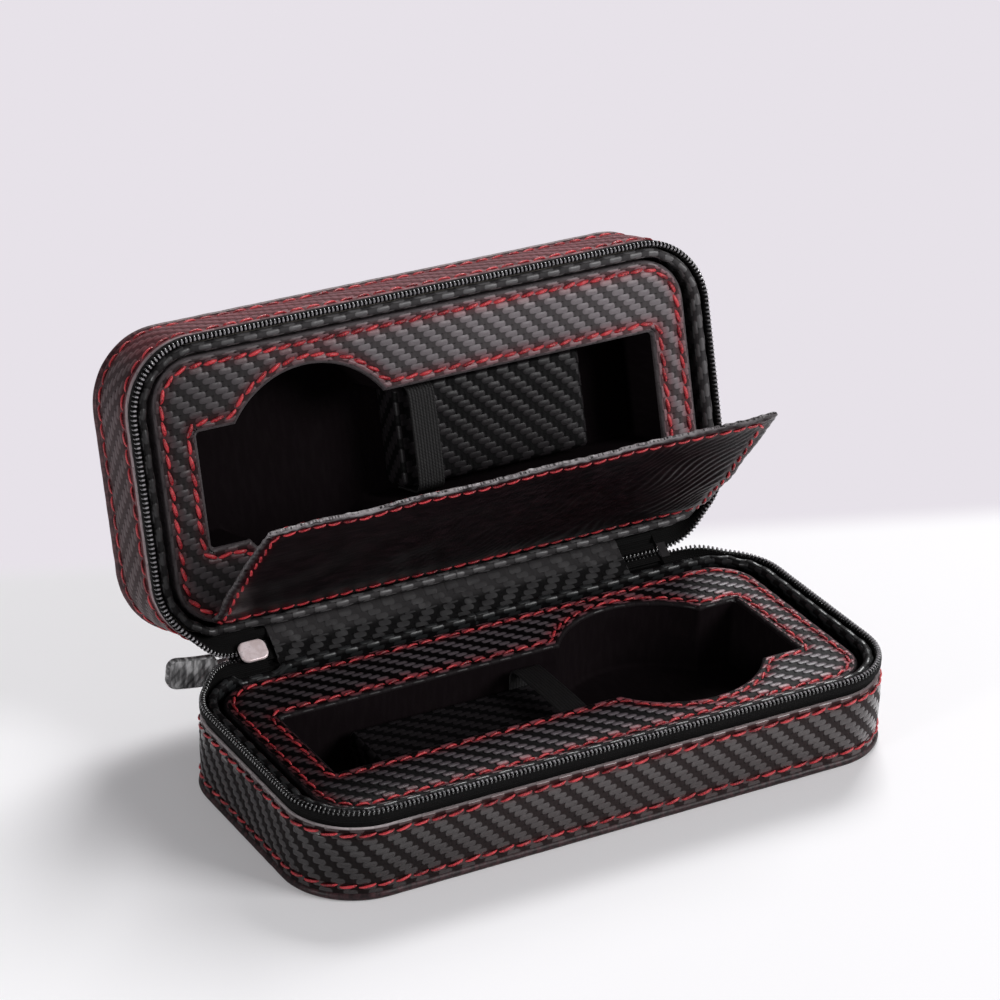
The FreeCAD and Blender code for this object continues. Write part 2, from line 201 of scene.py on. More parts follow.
class Folding:
    """Fold lines and angles of the case, from the frame's joints."""

    def __init__(self, joints: list[dict], couplings: list[dict]) -> None:
        """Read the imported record.

        Args:
            joints: Its joints.
            couplings: Its couplings.
        """
        at = {joint["name"]: Vector(joint["pos_m"]) / MM for joint in joints if "pos_m" in joint}
        limits = {joint["name"]: joint.get("range_deg") for joint in joints}
        self.angle = -limits["spine_fold"][0]
        self.base_line = at["spine_fold"]
        self.lid_line = turn(self.base_line, self.angle) @ at["lid_fold"]
        self.half_height = (self.base_line.z + self.lid_line.z) / 2
        self.spine = turn(self.base_line, -self.angle)
        self.lid = self.spine @ turn(self.lid_line, -self.angle)
        ratio = next(c["ratio"] for c in couplings if c["joint"] == "flap_fold")
        self.flap_line = self.lid.inverted() @ at["flap_fold"]
        self.flap = self.lid @ turn(self.flap_line, ratio * self.angle)
        over = Matrix.Translation((0, 0, 2 * self.half_height)) @ Matrix.Rotation(math.pi, 4, "Y")
        self.lid_half = self.lid @ over

    def base_bend(self, points: Array, weight: Array) -> Array:
        """Fold shut-case points between base and spine."""
        return swung(points, self.base_line, -self.angle * weight)

    def lid_bend(self, points: Array, weight: Array) -> Array:
        """Fold shut-case points between spine and lid."""
        return moved(self.spine, swung(points, self.lid_line, -self.angle * weight))


FOLDING = Folding(frame["joints"], frame["record"]["behaviour"]["couplings"])


# Outlines


class Outline:
    """Rounded rectangle round the Z axis, walked from the middle of its back to the left."""

    TABLE_STEP = 0.1

    def __init__(self, half_x: float, half_y: float, radius: float) -> None:
        """Measure the outline's nine stretches.

        Args:
            half_x: Half of its length.
            half_y: Half of its width.
            radius: Radius of its corners.
        """
        self.half_x, self.half_y, self.radius = half_x, half_y, radius
        self.flat_x, self.flat_y = half_x - radius, half_y - radius
        arc = radius * math.pi / 2
        self.stretches = [self.flat_x, arc, 2 * self.flat_y, arc, 2 * self.flat_x, arc,
                          2 * self.flat_y, arc, self.flat_x]
        self.length = sum(self.stretches)
        self._table = self._measure()

    def _measure(self) -> tuple[Array, Array, Array]:
        """Distances, points and normals along the whole outline."""
        stops = np.cumsum([0] + self.stretches)
        distance = np.linspace(0, self.length, int(self.length / self.TABLE_STEP))
        points = np.zeros((len(distance), 2))
        normals = np.zeros((len(distance), 2))
        corners = {1: (-1, 1, 90), 3: (-1, -1, 180), 5: (1, -1, 270), 7: (1, 1, 0)}
        straights = {0: ((0, 1), (-1, 0), (0, self.half_y)),
                     2: ((-1, 0), (0, -1), (-self.half_x, self.flat_y)),
                     4: ((0, -1), (1, 0), (-self.flat_x, -self.half_y)),
                     6: ((1, 0), (0, 1), (self.half_x, -self.flat_y)),
                     8: ((0, 1), (-1, 0), (self.flat_x, self.half_y))}
        index = np.clip(np.searchsorted(stops, distance, side="right") - 1, 0, 8)
        for stretch in range(9):
            mine = index == stretch
            run = distance[mine] - stops[stretch]
            if stretch in corners:
                side_x, side_y, start = corners[stretch]
                angle = np.radians(start) + run / max(self.radius, 1e-9)
                normal = np.stack([np.cos(angle), np.sin(angle)], 1)
                centre = np.array([side_x * self.flat_x, side_y * self.flat_y])
                points[mine] = centre + normal * self.radius
            else:
                normal, along, start = (np.array(value, float) for value in straights[stretch])
                points[mine] = start + np.outer(run, along)
            normals[mine] = normal
        return distance, points, normals

    def at(self, distance: Array) -> tuple[Array, Array]:
        """Places along the outline.

        Args:
            distance: Distances from the middle of the back.

        Returns:
            Flat points and their outward normals.
        """
        wrapped = np.mod(distance, self.length)
        table, points, normals = self._table
        place = np.stack([np.interp(wrapped, table, points[:, k]) for k in range(2)], 1)
        normal = np.stack([np.interp(wrapped, table, normals[:, k]) for k in range(2)], 1)
        return place, normal / np.linalg.norm(normal, axis=1)[:, None]

    def back_distance(self, reach: float) -> float:
        """Distance from the back's middle to where the outline has come this far to the left."""
        if reach <= self.flat_x:
            return reach
        return self.flat_x + self.radius * math.asin((reach - self.flat_x) / self.radius)

    def inset(self, amount: float) -> "Outline":
        """Parallel outline inside this one."""
        return Outline(self.half_x - amount, self.half_y - amount, self.radius - amount)

    def loop(self, step: float) -> Array:
        """Even distances round the whole outline."""
        count = round(self.length / step)
        return np.arange(count) * self.length / count

    def gap(self, x: Array, y: Array) -> Array:
        """Distance inside the outline, negative outside, at each X and Y."""
        qx = np.abs(x) - self.flat_x
        qy = np.abs(y) - self.flat_y
        outside = np.hypot(np.maximum(qx, 0), np.maximum(qy, 0))
        return self.radius - outside - np.minimum(np.maximum(qx, qy), 0)


@dataclass(frozen=True)
class WellOutline:
    """Outline of the watch cut-out: a long strap slot crossed by a round watch bay."""

    left: float
    right: float
    half_width: float
    corner: float
    centre: float
    radius: float

    def walk(self, growth: float, step: float) -> Array:
        """Closed loop of points on the outline, anticlockwise.

        Args:
            growth: How far the outline is grown all round.
            step: Distance between points before it is grown.

        Returns:
            Flat points, as many for every growth.
        """
        half, radius = self.half_width + growth, self.radius + growth
        left, right, corner = self.left - growth, self.right + growth, self.corner + growth
        span = math.sqrt(max(radius**2 - half**2, 0))
        bay = math.atan2(half, span)
        slot = self.centre - self.radius - self.left
        rest = self.right - self.centre - self.radius / 2
        width = 2 * self.half_width
        sweep = self.radius * (math.pi - 2 * math.asin(self.half_width / self.radius))
        bend = 1.6 * (self.corner + 2)
        quarter = math.pi / 2
        near, far = self.centre - span, self.centre + span
        inner_left, inner_right, inner_half = left + corner, right - corner, half - corner
        return np.concatenate([
            self._line((inner_left, -half), (near, -half), slot / step),
            self._arc((self.centre, 0), radius, math.pi + bay, 4 * quarter - bay, sweep / step),
            self._line((far, -half), (inner_right, -half), rest / step),
            self._arc((inner_right, -inner_half), corner, -quarter, 0, bend / step),
            self._line((right, -inner_half), (right, inner_half), width / step),
            self._arc((inner_right, inner_half), corner, 0, quarter, bend / step),
            self._line((inner_right, half), (far, half), rest / step),
            self._arc((self.centre, 0), radius, bay, math.pi - bay, sweep / step),
            self._line((near, half), (inner_left, half), slot / step),
            self._arc((inner_left, inner_half), corner, quarter, math.pi, bend / step),
            self._line((left, inner_half), (left, -inner_half), width / step),
            self._arc((inner_left, -inner_half), corner, math.pi, 3 * quarter, bend / step)])

    @staticmethod
    def _line(start: Spot, end: Spot, steps: float) -> Array:
        """Points from a start to just before an end."""
        count = max(2, round(steps))
        share = np.arange(count)[:, None] / count
        return np.array(start) * (1 - share) + np.array(end) * share

    @staticmethod
    def _arc(centre: Spot, radius: float, first: float, last: float, steps: float) -> Array:
        """Points of an arc from a first angle to just before a last one."""
        count = max(4, round(steps))
        angle = first + (last - first) * np.arange(count) / count
        return np.stack([centre[0] + radius * np.cos(angle), centre[1] + radius * np.sin(angle)], 1)

    def gap(self, x: Array, y: Array) -> Array:
        """Distance outside the cut-out, negative inside."""
        middle, half = (self.left + self.right) / 2, (self.right - self.left) / 2
        qx, qy = np.abs(x - middle) - half, np.abs(y) - self.half_width
        slot = np.hypot(np.maximum(qx, 0), np.maximum(qy, 0)) + np.minimum(np.maximum(qx, qy), 0)
        return np.minimum(slot, np.hypot(x - self.centre, y) - self.radius)


# Lines and nets


def run_length(points: Array, closed: bool = True) -> Array:
    """Distance along a line at each of its points, and once more at its end where it closes."""
    ends = np.vstack([points, points[:1]]) if closed else points
    return np.append(0, np.cumsum(np.linalg.norm(np.diff(ends, axis=0), axis=1)))


def level(flat: Array, height: float | Array) -> Array:
    """Flat points lifted to a height."""
    return np.column_stack([flat, np.broadcast_to(height, len(flat))])


def beside(places: tuple[Array, Array], inset: Array, height: Array) -> Array:
    """Net of points beside an outline.

    Args:
        places: Points of the outline and their normals, as Outline.at gives them.
        inset: How far inside the outline each point of a row is, alike for all rows or one row each.
        height: Its height, in the same way.

    Returns:
        Points, with a row for each place.
    """
    spot, normal = places
    shape = (len(spot), np.shape(inset)[-1])
    flat = spot[:, None, :] - normal[:, None, :] * np.broadcast_to(inset, shape)[..., None]
    return np.concatenate([flat, np.broadcast_to(height, shape)[..., None]], 2)


# Mesh under construction


class Patchwork:
    """Points, faces and weave coordinates that become one welded mesh."""

    WELD = 1e-3
    SHARP_EDGE = 62.0

    def __init__(self) -> None:
        """Start empty."""
        self.points: list[Array] = []
        self.corners: list[Array] = []
        self.sizes: list[Array] = []
        self.weave: list[Array] = []
        self.count = 0

    def _take(self, points: Array, faces: Array, weave: Array) -> None:
        """Add points, faces of one size and a weave coordinate for each face corner."""
        self.points.append(points.reshape(-1, 3))
        self.corners.append(faces.reshape(-1) + self.count)
        self.sizes.append(np.full(len(faces), faces.shape[1]))
        self.weave.append(weave.reshape(-1, 2))
        self.count += len(self.points[-1])

    def grid(self, points: Array, u: Array, v: Array, ring: bool = False, tube: bool = False) -> None:
        """Add a net of quads.

        Args:
            points: Places, shaped (n, m, 3).
            u: Weave coordinate of each of the n rows, with one more value where the rows close.
            v: Weave coordinate of each of the m columns, with one more where they close.
            ring: Whether the last row joins the first.
            tube: Whether the last column joins the first.
        """
        n, m = points.shape[:2]
        i = np.arange(n if ring else n - 1)
        j = np.arange(m if tube else m - 1)
        ii, jj = np.meshgrid(i, j, indexing="ij")
        ii, jj = ii.ravel(), jj.ravel()
        i2, j2 = (ii + 1) % n, (jj + 1) % m
        faces = np.stack([ii * m + jj, i2 * m + jj, i2 * m + j2, ii * m + j2], 1)
        weave = np.stack([np.stack([u[ii], v[jj]], 1), np.stack([u[ii + 1], v[jj]], 1),
                          np.stack([u[ii + 1], v[jj + 1]], 1), np.stack([u[ii], v[jj + 1]], 1)], 1)
        self._take(points, faces, weave)

    def rod(self, points: Array, u: Array, v: Array) -> None:
        """Add a net that closes across its rows, with both ends closed, as grid does."""
        self.grid(points, u, v, tube=True)
        self.cap(points[0])
        self.cap(points[-1])

    def web(self, points: Array, triangles: Array) -> None:
        """Add triangles whose weave follows X and Y."""
        self._take(points, triangles, points[triangles][..., :2])

    def cap(self, ring: Array) -> None:
        """Close a small hole with one face."""
        face = np.arange(len(ring))[None, :]
        self._take(ring, face, ring[face][..., :2])

    def build(self, name: str, place: Matrix, finish: "Finish",
              tints: dict[str, Shape] | None = None) -> bpy.types.Object:
        """Weld the mesh, place it in the frame and give it its finish.

        Args:
            name: Name of the piece.
            place: Matrix from the drawing to the open case, in millimetres.
            finish: Surface of the piece.
            tints: For each named tint of the finish, a function of the drawing's points.

        Returns:
            The new object at the origin, with its place in its mesh.
        """
        mesh = bpy.data.meshes.new(name)
        points, corners = np.concatenate(self.points), np.concatenate(self.corners)
        sizes, weave = np.concatenate(self.sizes), np.concatenate(self.weave)
        mesh.vertices.add(len(points))
        mesh.vertices.foreach_set("co", points.astype(np.float32).ravel())
        mesh.loops.add(len(corners))
        mesh.loops.foreach_set("vertex_index", corners.astype(np.int32))
        mesh.polygons.add(len(sizes))
        starts = np.concatenate([[0], np.cumsum(sizes)[:-1]])
        mesh.polygons.foreach_set("loop_start", starts.astype(np.int32))
        mesh.update(calc_edges=True)
        mesh.uv_layers.new(name=UV_NAME)
        mesh.uv_layers[UV_NAME].data.foreach_set("uv", weave.astype(np.float32).ravel())
        work = bmesh.new()
        work.from_mesh(mesh)
        bmesh.ops.remove_doubles(work, verts=work.verts, dist=self.WELD)
        bmesh.ops.recalc_face_normals(work, faces=work.faces)
        work.to_mesh(mesh)
        work.free()
        drawn = np.zeros(len(mesh.vertices) * 3, np.float32)
        mesh.vertices.foreach_get("co", drawn)
        for label, tint in (tints or {}).items():
            share = mesh.attributes.new(label, "FLOAT", "POINT")
            share.data.foreach_set("value", tint(drawn.reshape(-1, 3)).astype(np.float32))
        mesh.transform(Matrix.Scale(MM, 4) @ place)
        mesh.shade_smooth()
        mesh.set_sharp_from_angle(angle=math.radians(self.SHARP_EDGE))
        mesh.materials.append(finish.material())
        piece = bpy.data.objects.new(name, mesh)
        bpy.context.scene.collection.objects.link(piece)
        return piece


def filled(loops: list[Array], keep: Field, spacing: float, inside: Field,
           margin: float) -> tuple[Array, Array]:
    """Triangles between outlines, with an even net of points inside.

    Args:
        loops: Closed loops that stay as edges.
        keep: Function of x and y that is positive inside the filled area.
        spacing: Distance between the inner points.
        inside: Function of x and y that is positive where inner points may lie.
        margin: How far inside that function's edge they stay.

    Returns:
        Flat points and triangles.
    """
    edges, start = [], 0
    for loop in loops:
        index = np.arange(len(loop)) + start
        edges += list(zip(index.tolist(), np.roll(index, -1).tolist()))
        start += len(loop)
    everything = np.concatenate(loops)
    first, last = np.ceil(everything.min(0) / spacing), np.floor(everything.max(0) / spacing)
    net = np.meshgrid(*(np.arange(first[k], last[k] + 1) for k in range(2)), indexing="ij")
    inner = np.stack([axis.ravel() for axis in net], 1) * spacing
    inner = inner[inside(inner[:, 0], inner[:, 1]) > margin]
    everything = np.concatenate([everything, inner])
    made = delaunay_2d_cdt([Vector(p) for p in everything.tolist()], edges, [], 0, 1e-6)
    flat = np.array([tuple(p) for p in made[0]])
    triangles = np.array([face for face in made[2] if len(face) == 3])
    middle = flat[triangles].mean(1)
    return flat, triangles[keep(middle[:, 0], middle[:, 1]) > 0]


# Node graphs


class Signal:
    """A node's output that can be used in sums."""

    def __init__(self, graph: "Graph", socket: bpy.types.NodeSocket) -> None:
        """Wrap one socket."""
        self.graph = graph
        self.socket = socket

    def _math(self, operation: str, *values: "Signal | float") -> "Signal":
        """Add a Math node."""
        return self.graph.add(self.graph.math, {"operation": operation}, dict(enumerate(values)))

    def __add__(self, other: "Signal | float") -> "Signal":
        """Sum."""
        return self._math("ADD", self, other)

    __radd__ = __add__

    def __sub__(self, other: "Signal | float") -> "Signal":
        """Difference."""
        return self._math("SUBTRACT", self, other)

    def __rsub__(self, other: "Signal | float") -> "Signal":
        """Difference from a number."""
        return self._math("SUBTRACT", other, self)

    def __mul__(self, other: "Signal | float") -> "Signal":
        """Product."""
        return self._math("MULTIPLY", self, other)

    __rmul__ = __mul__

    def __truediv__(self, other: "Signal | float") -> "Signal":
        """Quotient."""
        return self._math("DIVIDE", self, other)

    def __mod__(self, other: float) -> "Signal":
        """Remainder that is never negative."""
        return self._math("FLOORED_MODULO", self, other)

    def floor(self) -> "Signal":
        """Whole number below."""
        return self._math("FLOOR", self)

    def fraction(self) -> "Signal":
        """Part after the point."""
        return self._math("FRACT", self)

    def root(self) -> "Signal":
        """Square root."""
        return self._math("SQRT", self)

    def size(self) -> "Signal":
        """Absolute value."""
        return self._math("ABSOLUTE", self)

    def at_least(self, other: "Signal | float") -> "Signal":
        """Larger of two values."""
        return self._math("MAXIMUM", self, other)

    def at_most(self, other: "Signal | float") -> "Signal":
        """Smaller of two values."""
        return self._math("MINIMUM", self, other)

    def squared(self) -> "Signal":
        """Square."""
        return self * self

    def rise(self, low: float, high: float) -> "Signal":
        """Smooth rise from 0 at low to 1 at high."""
        inputs = {"Value": self, "From Min": low, "From Max": high}
        return self.graph.add("ShaderNodeMapRange", {"interpolation_type": "SMOOTHSTEP"}, inputs)


Tone = Signal | tuple


class Graph:
    """Builder for one node tree."""

    def __init__(self, tree: bpy.types.NodeTree, math_node: str = "ShaderNodeMath") -> None:
        """Wrap an empty tree."""
        self.tree = tree
        self.math = math_node

    def add(self, kind: str, settings: dict | None = None, inputs: dict | None = None,
            output: int | str = 0) -> Signal:
        """Add one node.

        Args:
            kind: Type of the node.
            settings: Properties that are set before its sockets.
            inputs: Values or signals, by the socket's identifier, name or number.
            output: Which output to return.

        Returns:
            The chosen output.
        """
        node = self.tree.nodes.new(kind)
        for name, value in (settings or {}).items():
            setattr(node, name, value)
        for key, value in (inputs or {}).items():
            socket = self._find(node.inputs, key)
            if isinstance(value, Signal):
                self.tree.links.new(value.socket, socket)
            else:
                socket.default_value = value
        return Signal(self, self._find(node.outputs, output)) if len(node.outputs) else Signal(self, None)

    @staticmethod
    def _find(sockets: bpy.types.bpy_prop_collection, key: int | str) -> bpy.types.NodeSocket:
        """Socket by number, identifier or name."""
        if isinstance(key, int):
            return sockets[key]
        for socket in sockets:
            if socket.identifier == key:
                return socket
        return next(socket for socket in sockets if socket.name == key and socket.enabled)

    def blend(self, share: Signal | float, first: Tone, second: Tone, kind: str = "MIX") -> Signal:
        """Mix two colours, or multiply the first by the second where the kind says so."""
        inputs = {"Factor_Float": share, "A_Color": first, "B_Color": second}
        return self.add("ShaderNodeMix", {"data_type": "RGBA", "blend_type": kind}, inputs, "Result_Color")

    def axes(self, vector: Signal) -> tuple[Signal, Signal]:
        """X and Y of a vector."""
        split = self.add("ShaderNodeSeparateXYZ", {}, {0: vector})
        return split, Signal(self, split.socket.node.outputs[1])

    def mapped(self, vector: Signal, scale: tuple, turn: tuple = (0.0, 0.0, 0.0)) -> Signal:
        """Vector turned and scaled."""
        return self.add("ShaderNodeMapping", {}, {"Vector": vector, "Rotation": turn, "Scale": scale})

    def noise(self, scale: float, detail: float = 2.0, place: Signal | None = None) -> Signal:
        """Noise between about 0.3 and 0.7 at object places."""
        inputs = {"Scale": scale, "Detail": detail, "Vector": place or self.place()}
        return self.add("ShaderNodeTexNoise", {}, inputs)

    def place(self) -> Signal:
        """Object coordinates, in metres."""
        return self.add("ShaderNodeTexCoord", {}, {}, "Object")

    def tint(self, label: str) -> Signal:
        """Share of a tint that the mesh carries, 0 where it has none."""
        return self.add("ShaderNodeAttribute", {"attribute_name": label}, {}, "Fac")

    def weave(self) -> tuple[Signal, Signal]:
        """Weave coordinates of the surface, in millimetres."""
        return self.axes(self.add("ShaderNodeUVMap", {"uv_map": UV_NAME}))

    def bump(self, height: Signal, distance: float, strength: float = 1.0,
             under: Signal | None = None) -> Signal:
        """Bump from a height, in metres for a height of one."""
        inputs = {"Height": height, "Distance": distance, "Strength": strength}
        if under is not None:
            inputs["Normal"] = under
        return self.add("ShaderNodeBump", {}, inputs)


def linear(value: float) -> float:
    """Linear share of a screen value between 0 and 255."""
    share = value / 255
    return share / 12.92 if share <= 0.04045 else ((share + 0.055) / 1.055) ** 2.4


def colour(red: float, green: float, blue: float) -> tuple[float, float, float, float]:
    """Linear colour with full alpha, from screen values."""
    return linear(red), linear(green), linear(blue), 1.0


# Finishes


@dataclass(frozen=True)
class Finish:
    """Surface of a piece, with its slot in the record."""

    name: str
    slot: str

    def material(self) -> bpy.types.Material:
        """The material, made on first use."""
        label = self.name + "_surface"
        found = bpy.data.materials.get(label)
        if found:
            return found
        made = bpy.data.materials.new(label)
        made.use_nodes = True
        made.node_tree.nodes.clear()
        graph = Graph(made.node_tree)
        shader = graph.add("ShaderNodeBsdfPrincipled", {}, self.surface(graph))
        graph.add("ShaderNodeOutputMaterial", {}, {"Surface": shader})
        return made

    def surface(self, graph: Graph) -> dict:
        """Inputs of the shader."""
        raise NotImplementedError


@dataclass(frozen=True)
class CarbonLeatherette(Finish):
    """Leatherette embossed with a carbon-fibre twill, darkened by painted shade towards the case's left end."""

    float_colour: tuple = colour(92, 86, 88)
    band_colour: tuple = colour(58, 54, 55)
    dot_colour: tuple = colour(14, 11, 12)
    float_roughness: float = 0.34
    band_roughness: float = 0.55
    gloss: float = 0.35
    dye: tuple = (1.6, 0.5, 0.58, 1.0)
    edge_colour: tuple = colour(176, 166, 168)
    depth: float = 0.00022
    grain: float = 0.00003
    light_from: float = 0.2
    light_to: float = 0.7
    notch_share: float = 1.0
    end_tone: float = 1.0
    end_reach: float = 0.06

    def surface(self, graph: Graph) -> dict:
        """Rounded floats, a smooth band between them, dark notches and a fine grain."""
        u, v = graph.weave()
        rows = v / TWILL.tow
        row = rows.floor()
        across = (rows - row) * 2 - 1
        along = (u / TWILL.tow + row) % TWILL.repeat
        start = (1 - along / TWILL.round_share).at_least(0)
        end = ((along - TWILL.fade_start) / TWILL.fade_length).at_least(0)
        puff = (1 - across.squared() * TWILL.row_round - start.squared() - end.squared()).at_least(0).root()
        tows = (u / TWILL.tow).fraction() * 2 - 1
        in_band = along.rise(*TWILL.band_start) * (1 - along.rise(3.6, 3.95))
        band = (1 - tows.squared() * 0.5) * TWILL.band_height * in_band
        height = puff.at_least(band)
        notch_x = (along - 3.93).size().at_most(along + 0.07)
        notch_y = 1 - across.size()
        notch = 1 - (notch_x.squared() * 9 + notch_y.squared() * 5.0).root().rise(0.3, 0.8)
        groove = across.size().rise(0.8, 1.0) * 0.3
        grain = graph.noise(5200, 3)
        cloud = graph.noise(45, 2)
        mask = puff.rise(self.light_from, self.light_to)
        shade = graph.blend(mask, self.band_colour, self.float_colour)
        shade = graph.blend(notch.at_least(groove) * self.notch_share, shade, self.dot_colour)
        # Painted shade: the colour is multiplied darker over the last stretch towards the case's left end.
        left = graph.axes(graph.place())[0].rise(CASE_END, CASE_END + self.end_reach)
        tone = left * (1 - self.end_tone) + self.end_tone
        light = (grain * 0.5 + cloud * 0.5 + 0.5) * tone
        tint = graph.add("ShaderNodeCombineXYZ", {}, {0: light, 1: light, 2: light})
        shade = graph.blend(0.75, shade, tint, "MULTIPLY")
        # Red tint from the redness share: round the seams, and on the lid's upper wall a painted lighter maroon
        # where light falls from above.
        shade = graph.blend(graph.tint("redness") * (0.6 + cloud * 0.6), shade, self.dye, "MULTIPLY")
        # Flat tone on the trays' rolled edges; painted highlight on the walls' top edge and the flap's rim;
        # painted sheen on the lining's half next to the lid.
        shade = graph.blend(graph.tint("worn"), shade, self.edge_colour)
        smoother = mask * (self.float_roughness - self.band_roughness)
        rough = smoother + self.band_roughness + (grain - 0.5) * 0.25
        fine = graph.bump(grain, self.grain)
        normal = graph.bump(height - notch * 0.6, self.depth, 1.0, fine)
        return {"Base Color": shade, "Roughness": rough, "Normal": normal, "Specular IOR Level": 0.1,
                "Coat Weight": mask * self.gloss, "Coat Roughness": self.float_roughness}


@dataclass(frozen=True)
class PlainLeatherette(Finish):
    """Smooth leatherette with a fine pebble grain and soft creases, lighter on their ridges as a painted sheen."""

    face_colour: tuple = colour(20, 16, 18)
    streak_colour: tuple = colour(30, 25, 27)
    red_colour: tuple = colour(58, 6, 14)
    edge_colour: tuple = colour(120, 116, 118)
    roughness: float = 0.45
    crease: float = 0.0002
    streak_scale: float = 0.12
    streak_turn: float = 0.6
    gloss: float = 0.2

    def surface(self, graph: Graph) -> dict:
        """Pebble grain over creases that run one way, with a painted sheen where they rise."""
        u, v = graph.weave()
        cells = {"Scale": 1500, "Vector": graph.place()}
        pebble = graph.add("ShaderNodeTexVoronoi", {"feature": "SMOOTH_F1"}, cells)
        cloud = graph.noise(60, 3)
        flat = graph.add("ShaderNodeCombineXYZ", {}, {0: u, 1: v, 2: 0.0})
        stretched = graph.mapped(flat, (1.0, 0.22, 1.0), (0.0, 0.0, self.streak_turn))
        crease = graph.noise(self.streak_scale * 5, 4, stretched)
        shade = graph.blend(crease.rise(0.4, 0.68), self.face_colour, self.streak_colour)
        shade = graph.blend(graph.tint("redness") * (0.45 + cloud * 0.6), shade, self.red_colour)
        # Painted highlight on the flap's rim, over the crease pattern.
        shade = graph.blend(graph.tint("worn") * crease.rise(0.35, 0.6), shade, self.edge_colour)
        normal = graph.bump(crease, self.crease, 0.6, graph.bump(pebble, 0.00004))
        rough = cloud * 0.25 + (self.roughness - 0.12)
        return {"Base Color": shade, "Roughness": rough, "Normal": normal, "Specular IOR Level": self.gloss}


@dataclass(frozen=True)
class Thread(Finish):
    """Waxed red sewing thread."""

    bright: tuple = colour(204, 60, 67)
    deep: tuple = colour(112, 12, 24)

    def surface(self, graph: Graph) -> dict:
        """Fine slanted strands."""
        stretched = graph.mapped(graph.place(), (1.0, 4.0, 1.0), (0.4, 0.3, 0.6))
        strand = graph.noise(1700, 2, stretched)
        tone = graph.noise(160, 1)
        shade = graph.blend((strand + tone - 0.5).rise(0.3, 0.62), self.deep, self.bright)
        return {"Base Color": shade, "Roughness": 0.32, "Normal": graph.bump(strand, 0.0002)}


@dataclass(frozen=True)
class ZipTape(Finish):
    """Woven polyester tape with ribs along its length."""

    yarn_colour: tuple = colour(10, 9, 9)
    gap_colour: tuple = colour(4, 4, 4)
    rib: float = 0.62
    pick: float = 0.8

    def surface(self, graph: Graph) -> dict:
        """Herringbone ribs."""
        u, v = graph.weave()
        side = ((v / self.rib).floor() % 2) * 2 - 1
        across = (v / self.rib).fraction() * 2 - 1
        slanted = (u / self.pick + across * side * 0.35).fraction() * 2 - 1
        height = (1 - across.squared()) * (1 - slanted.squared() * 0.7)
        shade = graph.blend(height.rise(0.1, 0.7), self.gap_colour, self.yarn_colour)
        return {"Base Color": shade, "Roughness": 0.7, "Normal": graph.bump(height, 0.00012),
                "Specular IOR Level": 0.1}


@dataclass(frozen=True)
class CoilPlastic(Finish):
    """Black monofilament of the zip coil."""

    face_colour: tuple = colour(12, 11, 12)
    head_colour: tuple = colour(178, 175, 179)
    head_at: float = 2.8
    head_from: float = -0.2

    def surface(self, graph: Graph) -> dict:
        """Glossy drawn plastic with faint scuffs; the heads carry a painted grey highlight, faded out by painted
        shade towards the case's left end.
        """
        u, _ = graph.weave()
        scuff = graph.noise(900, 3)
        # Painted shade: the painted head highlight fades out towards the case's left end.
        bright = graph.axes(graph.place())[0].rise(self.head_from, self.head_from + 0.05)
        head = (1 - ((u - self.head_at).size() / 1.2).rise(0.2, 1.0)) * bright
        shade = graph.blend((scuff + 0.15) * head, self.face_colour, self.head_colour)
        return {"Base Color": shade, "Roughness": scuff * 0.3 + 0.1, "Normal": graph.bump(scuff, 0.00002),
                "Specular IOR Level": 0.8, "Coat Weight": 1.0, "Coat Roughness": 0.08}


@dataclass(frozen=True)
class SatinMetal(Finish):
    """Satin plated metal of the slider and its pull."""

    plate_colour: tuple = colour(248, 232, 234)
    worn_colour: tuple = colour(226, 206, 206)

    def surface(self, graph: Graph) -> dict:
        """Brushed metal with cloudy wear."""
        brushed = graph.mapped(graph.place(), (0.15, 1.0, 1.0))
        line = graph.noise(6000, 2, brushed)
        cloud = graph.noise(420, 3)
        shade = graph.blend(cloud.rise(0.35, 0.7), self.plate_colour, self.worn_colour)
        rough = line * 0.18 + cloud * 0.16 + 0.14
        return {"Base Color": shade, "Metallic": 0.25, "Roughness": rough,
                "Normal": graph.bump(line, 0.00001)}


@dataclass(frozen=True)
class Board(Finish):
    """Grey pressed board."""

    def surface(self, graph: Graph) -> dict:
        """Fibres and specks."""
        fibre = graph.noise(900, 5)
        shade = graph.blend(fibre, colour(120, 112, 104), colour(170, 162, 152))
        return {"Base Color": shade, "Roughness": 0.9, "Normal": graph.bump(fibre, 0.00006)}


@dataclass(frozen=True)
class Foam(Finish):
    """Dark closed-cell foam."""

    def surface(self, graph: Graph) -> dict:
        """Small round cells."""
        cell = graph.add("ShaderNodeTexVoronoi", {}, {"Scale": 1400, "Vector": graph.place()})
        shade = graph.blend(cell.rise(0.1, 0.7), colour(34, 32, 33), colour(60, 58, 60))
        return {"Base Color": shade, "Roughness": 0.95, "Normal": graph.bump(cell, 0.0001)}


@dataclass(frozen=True)
class Elastic(Finish):
    """Knitted black elastic."""

    def surface(self, graph: Graph) -> dict:
        """Small stitches across each rib."""
        u, _ = graph.weave()
        knit = ((u / 0.45).fraction() * 2 - 1).squared()
        shade = graph.blend(knit.rise(0.2, 0.9), colour(15, 12, 13), colour(5, 4, 5))
        return {"Base Color": shade, "Roughness": 0.55, "Normal": graph.bump(1 - knit, 0.00008),
                "Specular IOR Level": 0.4}


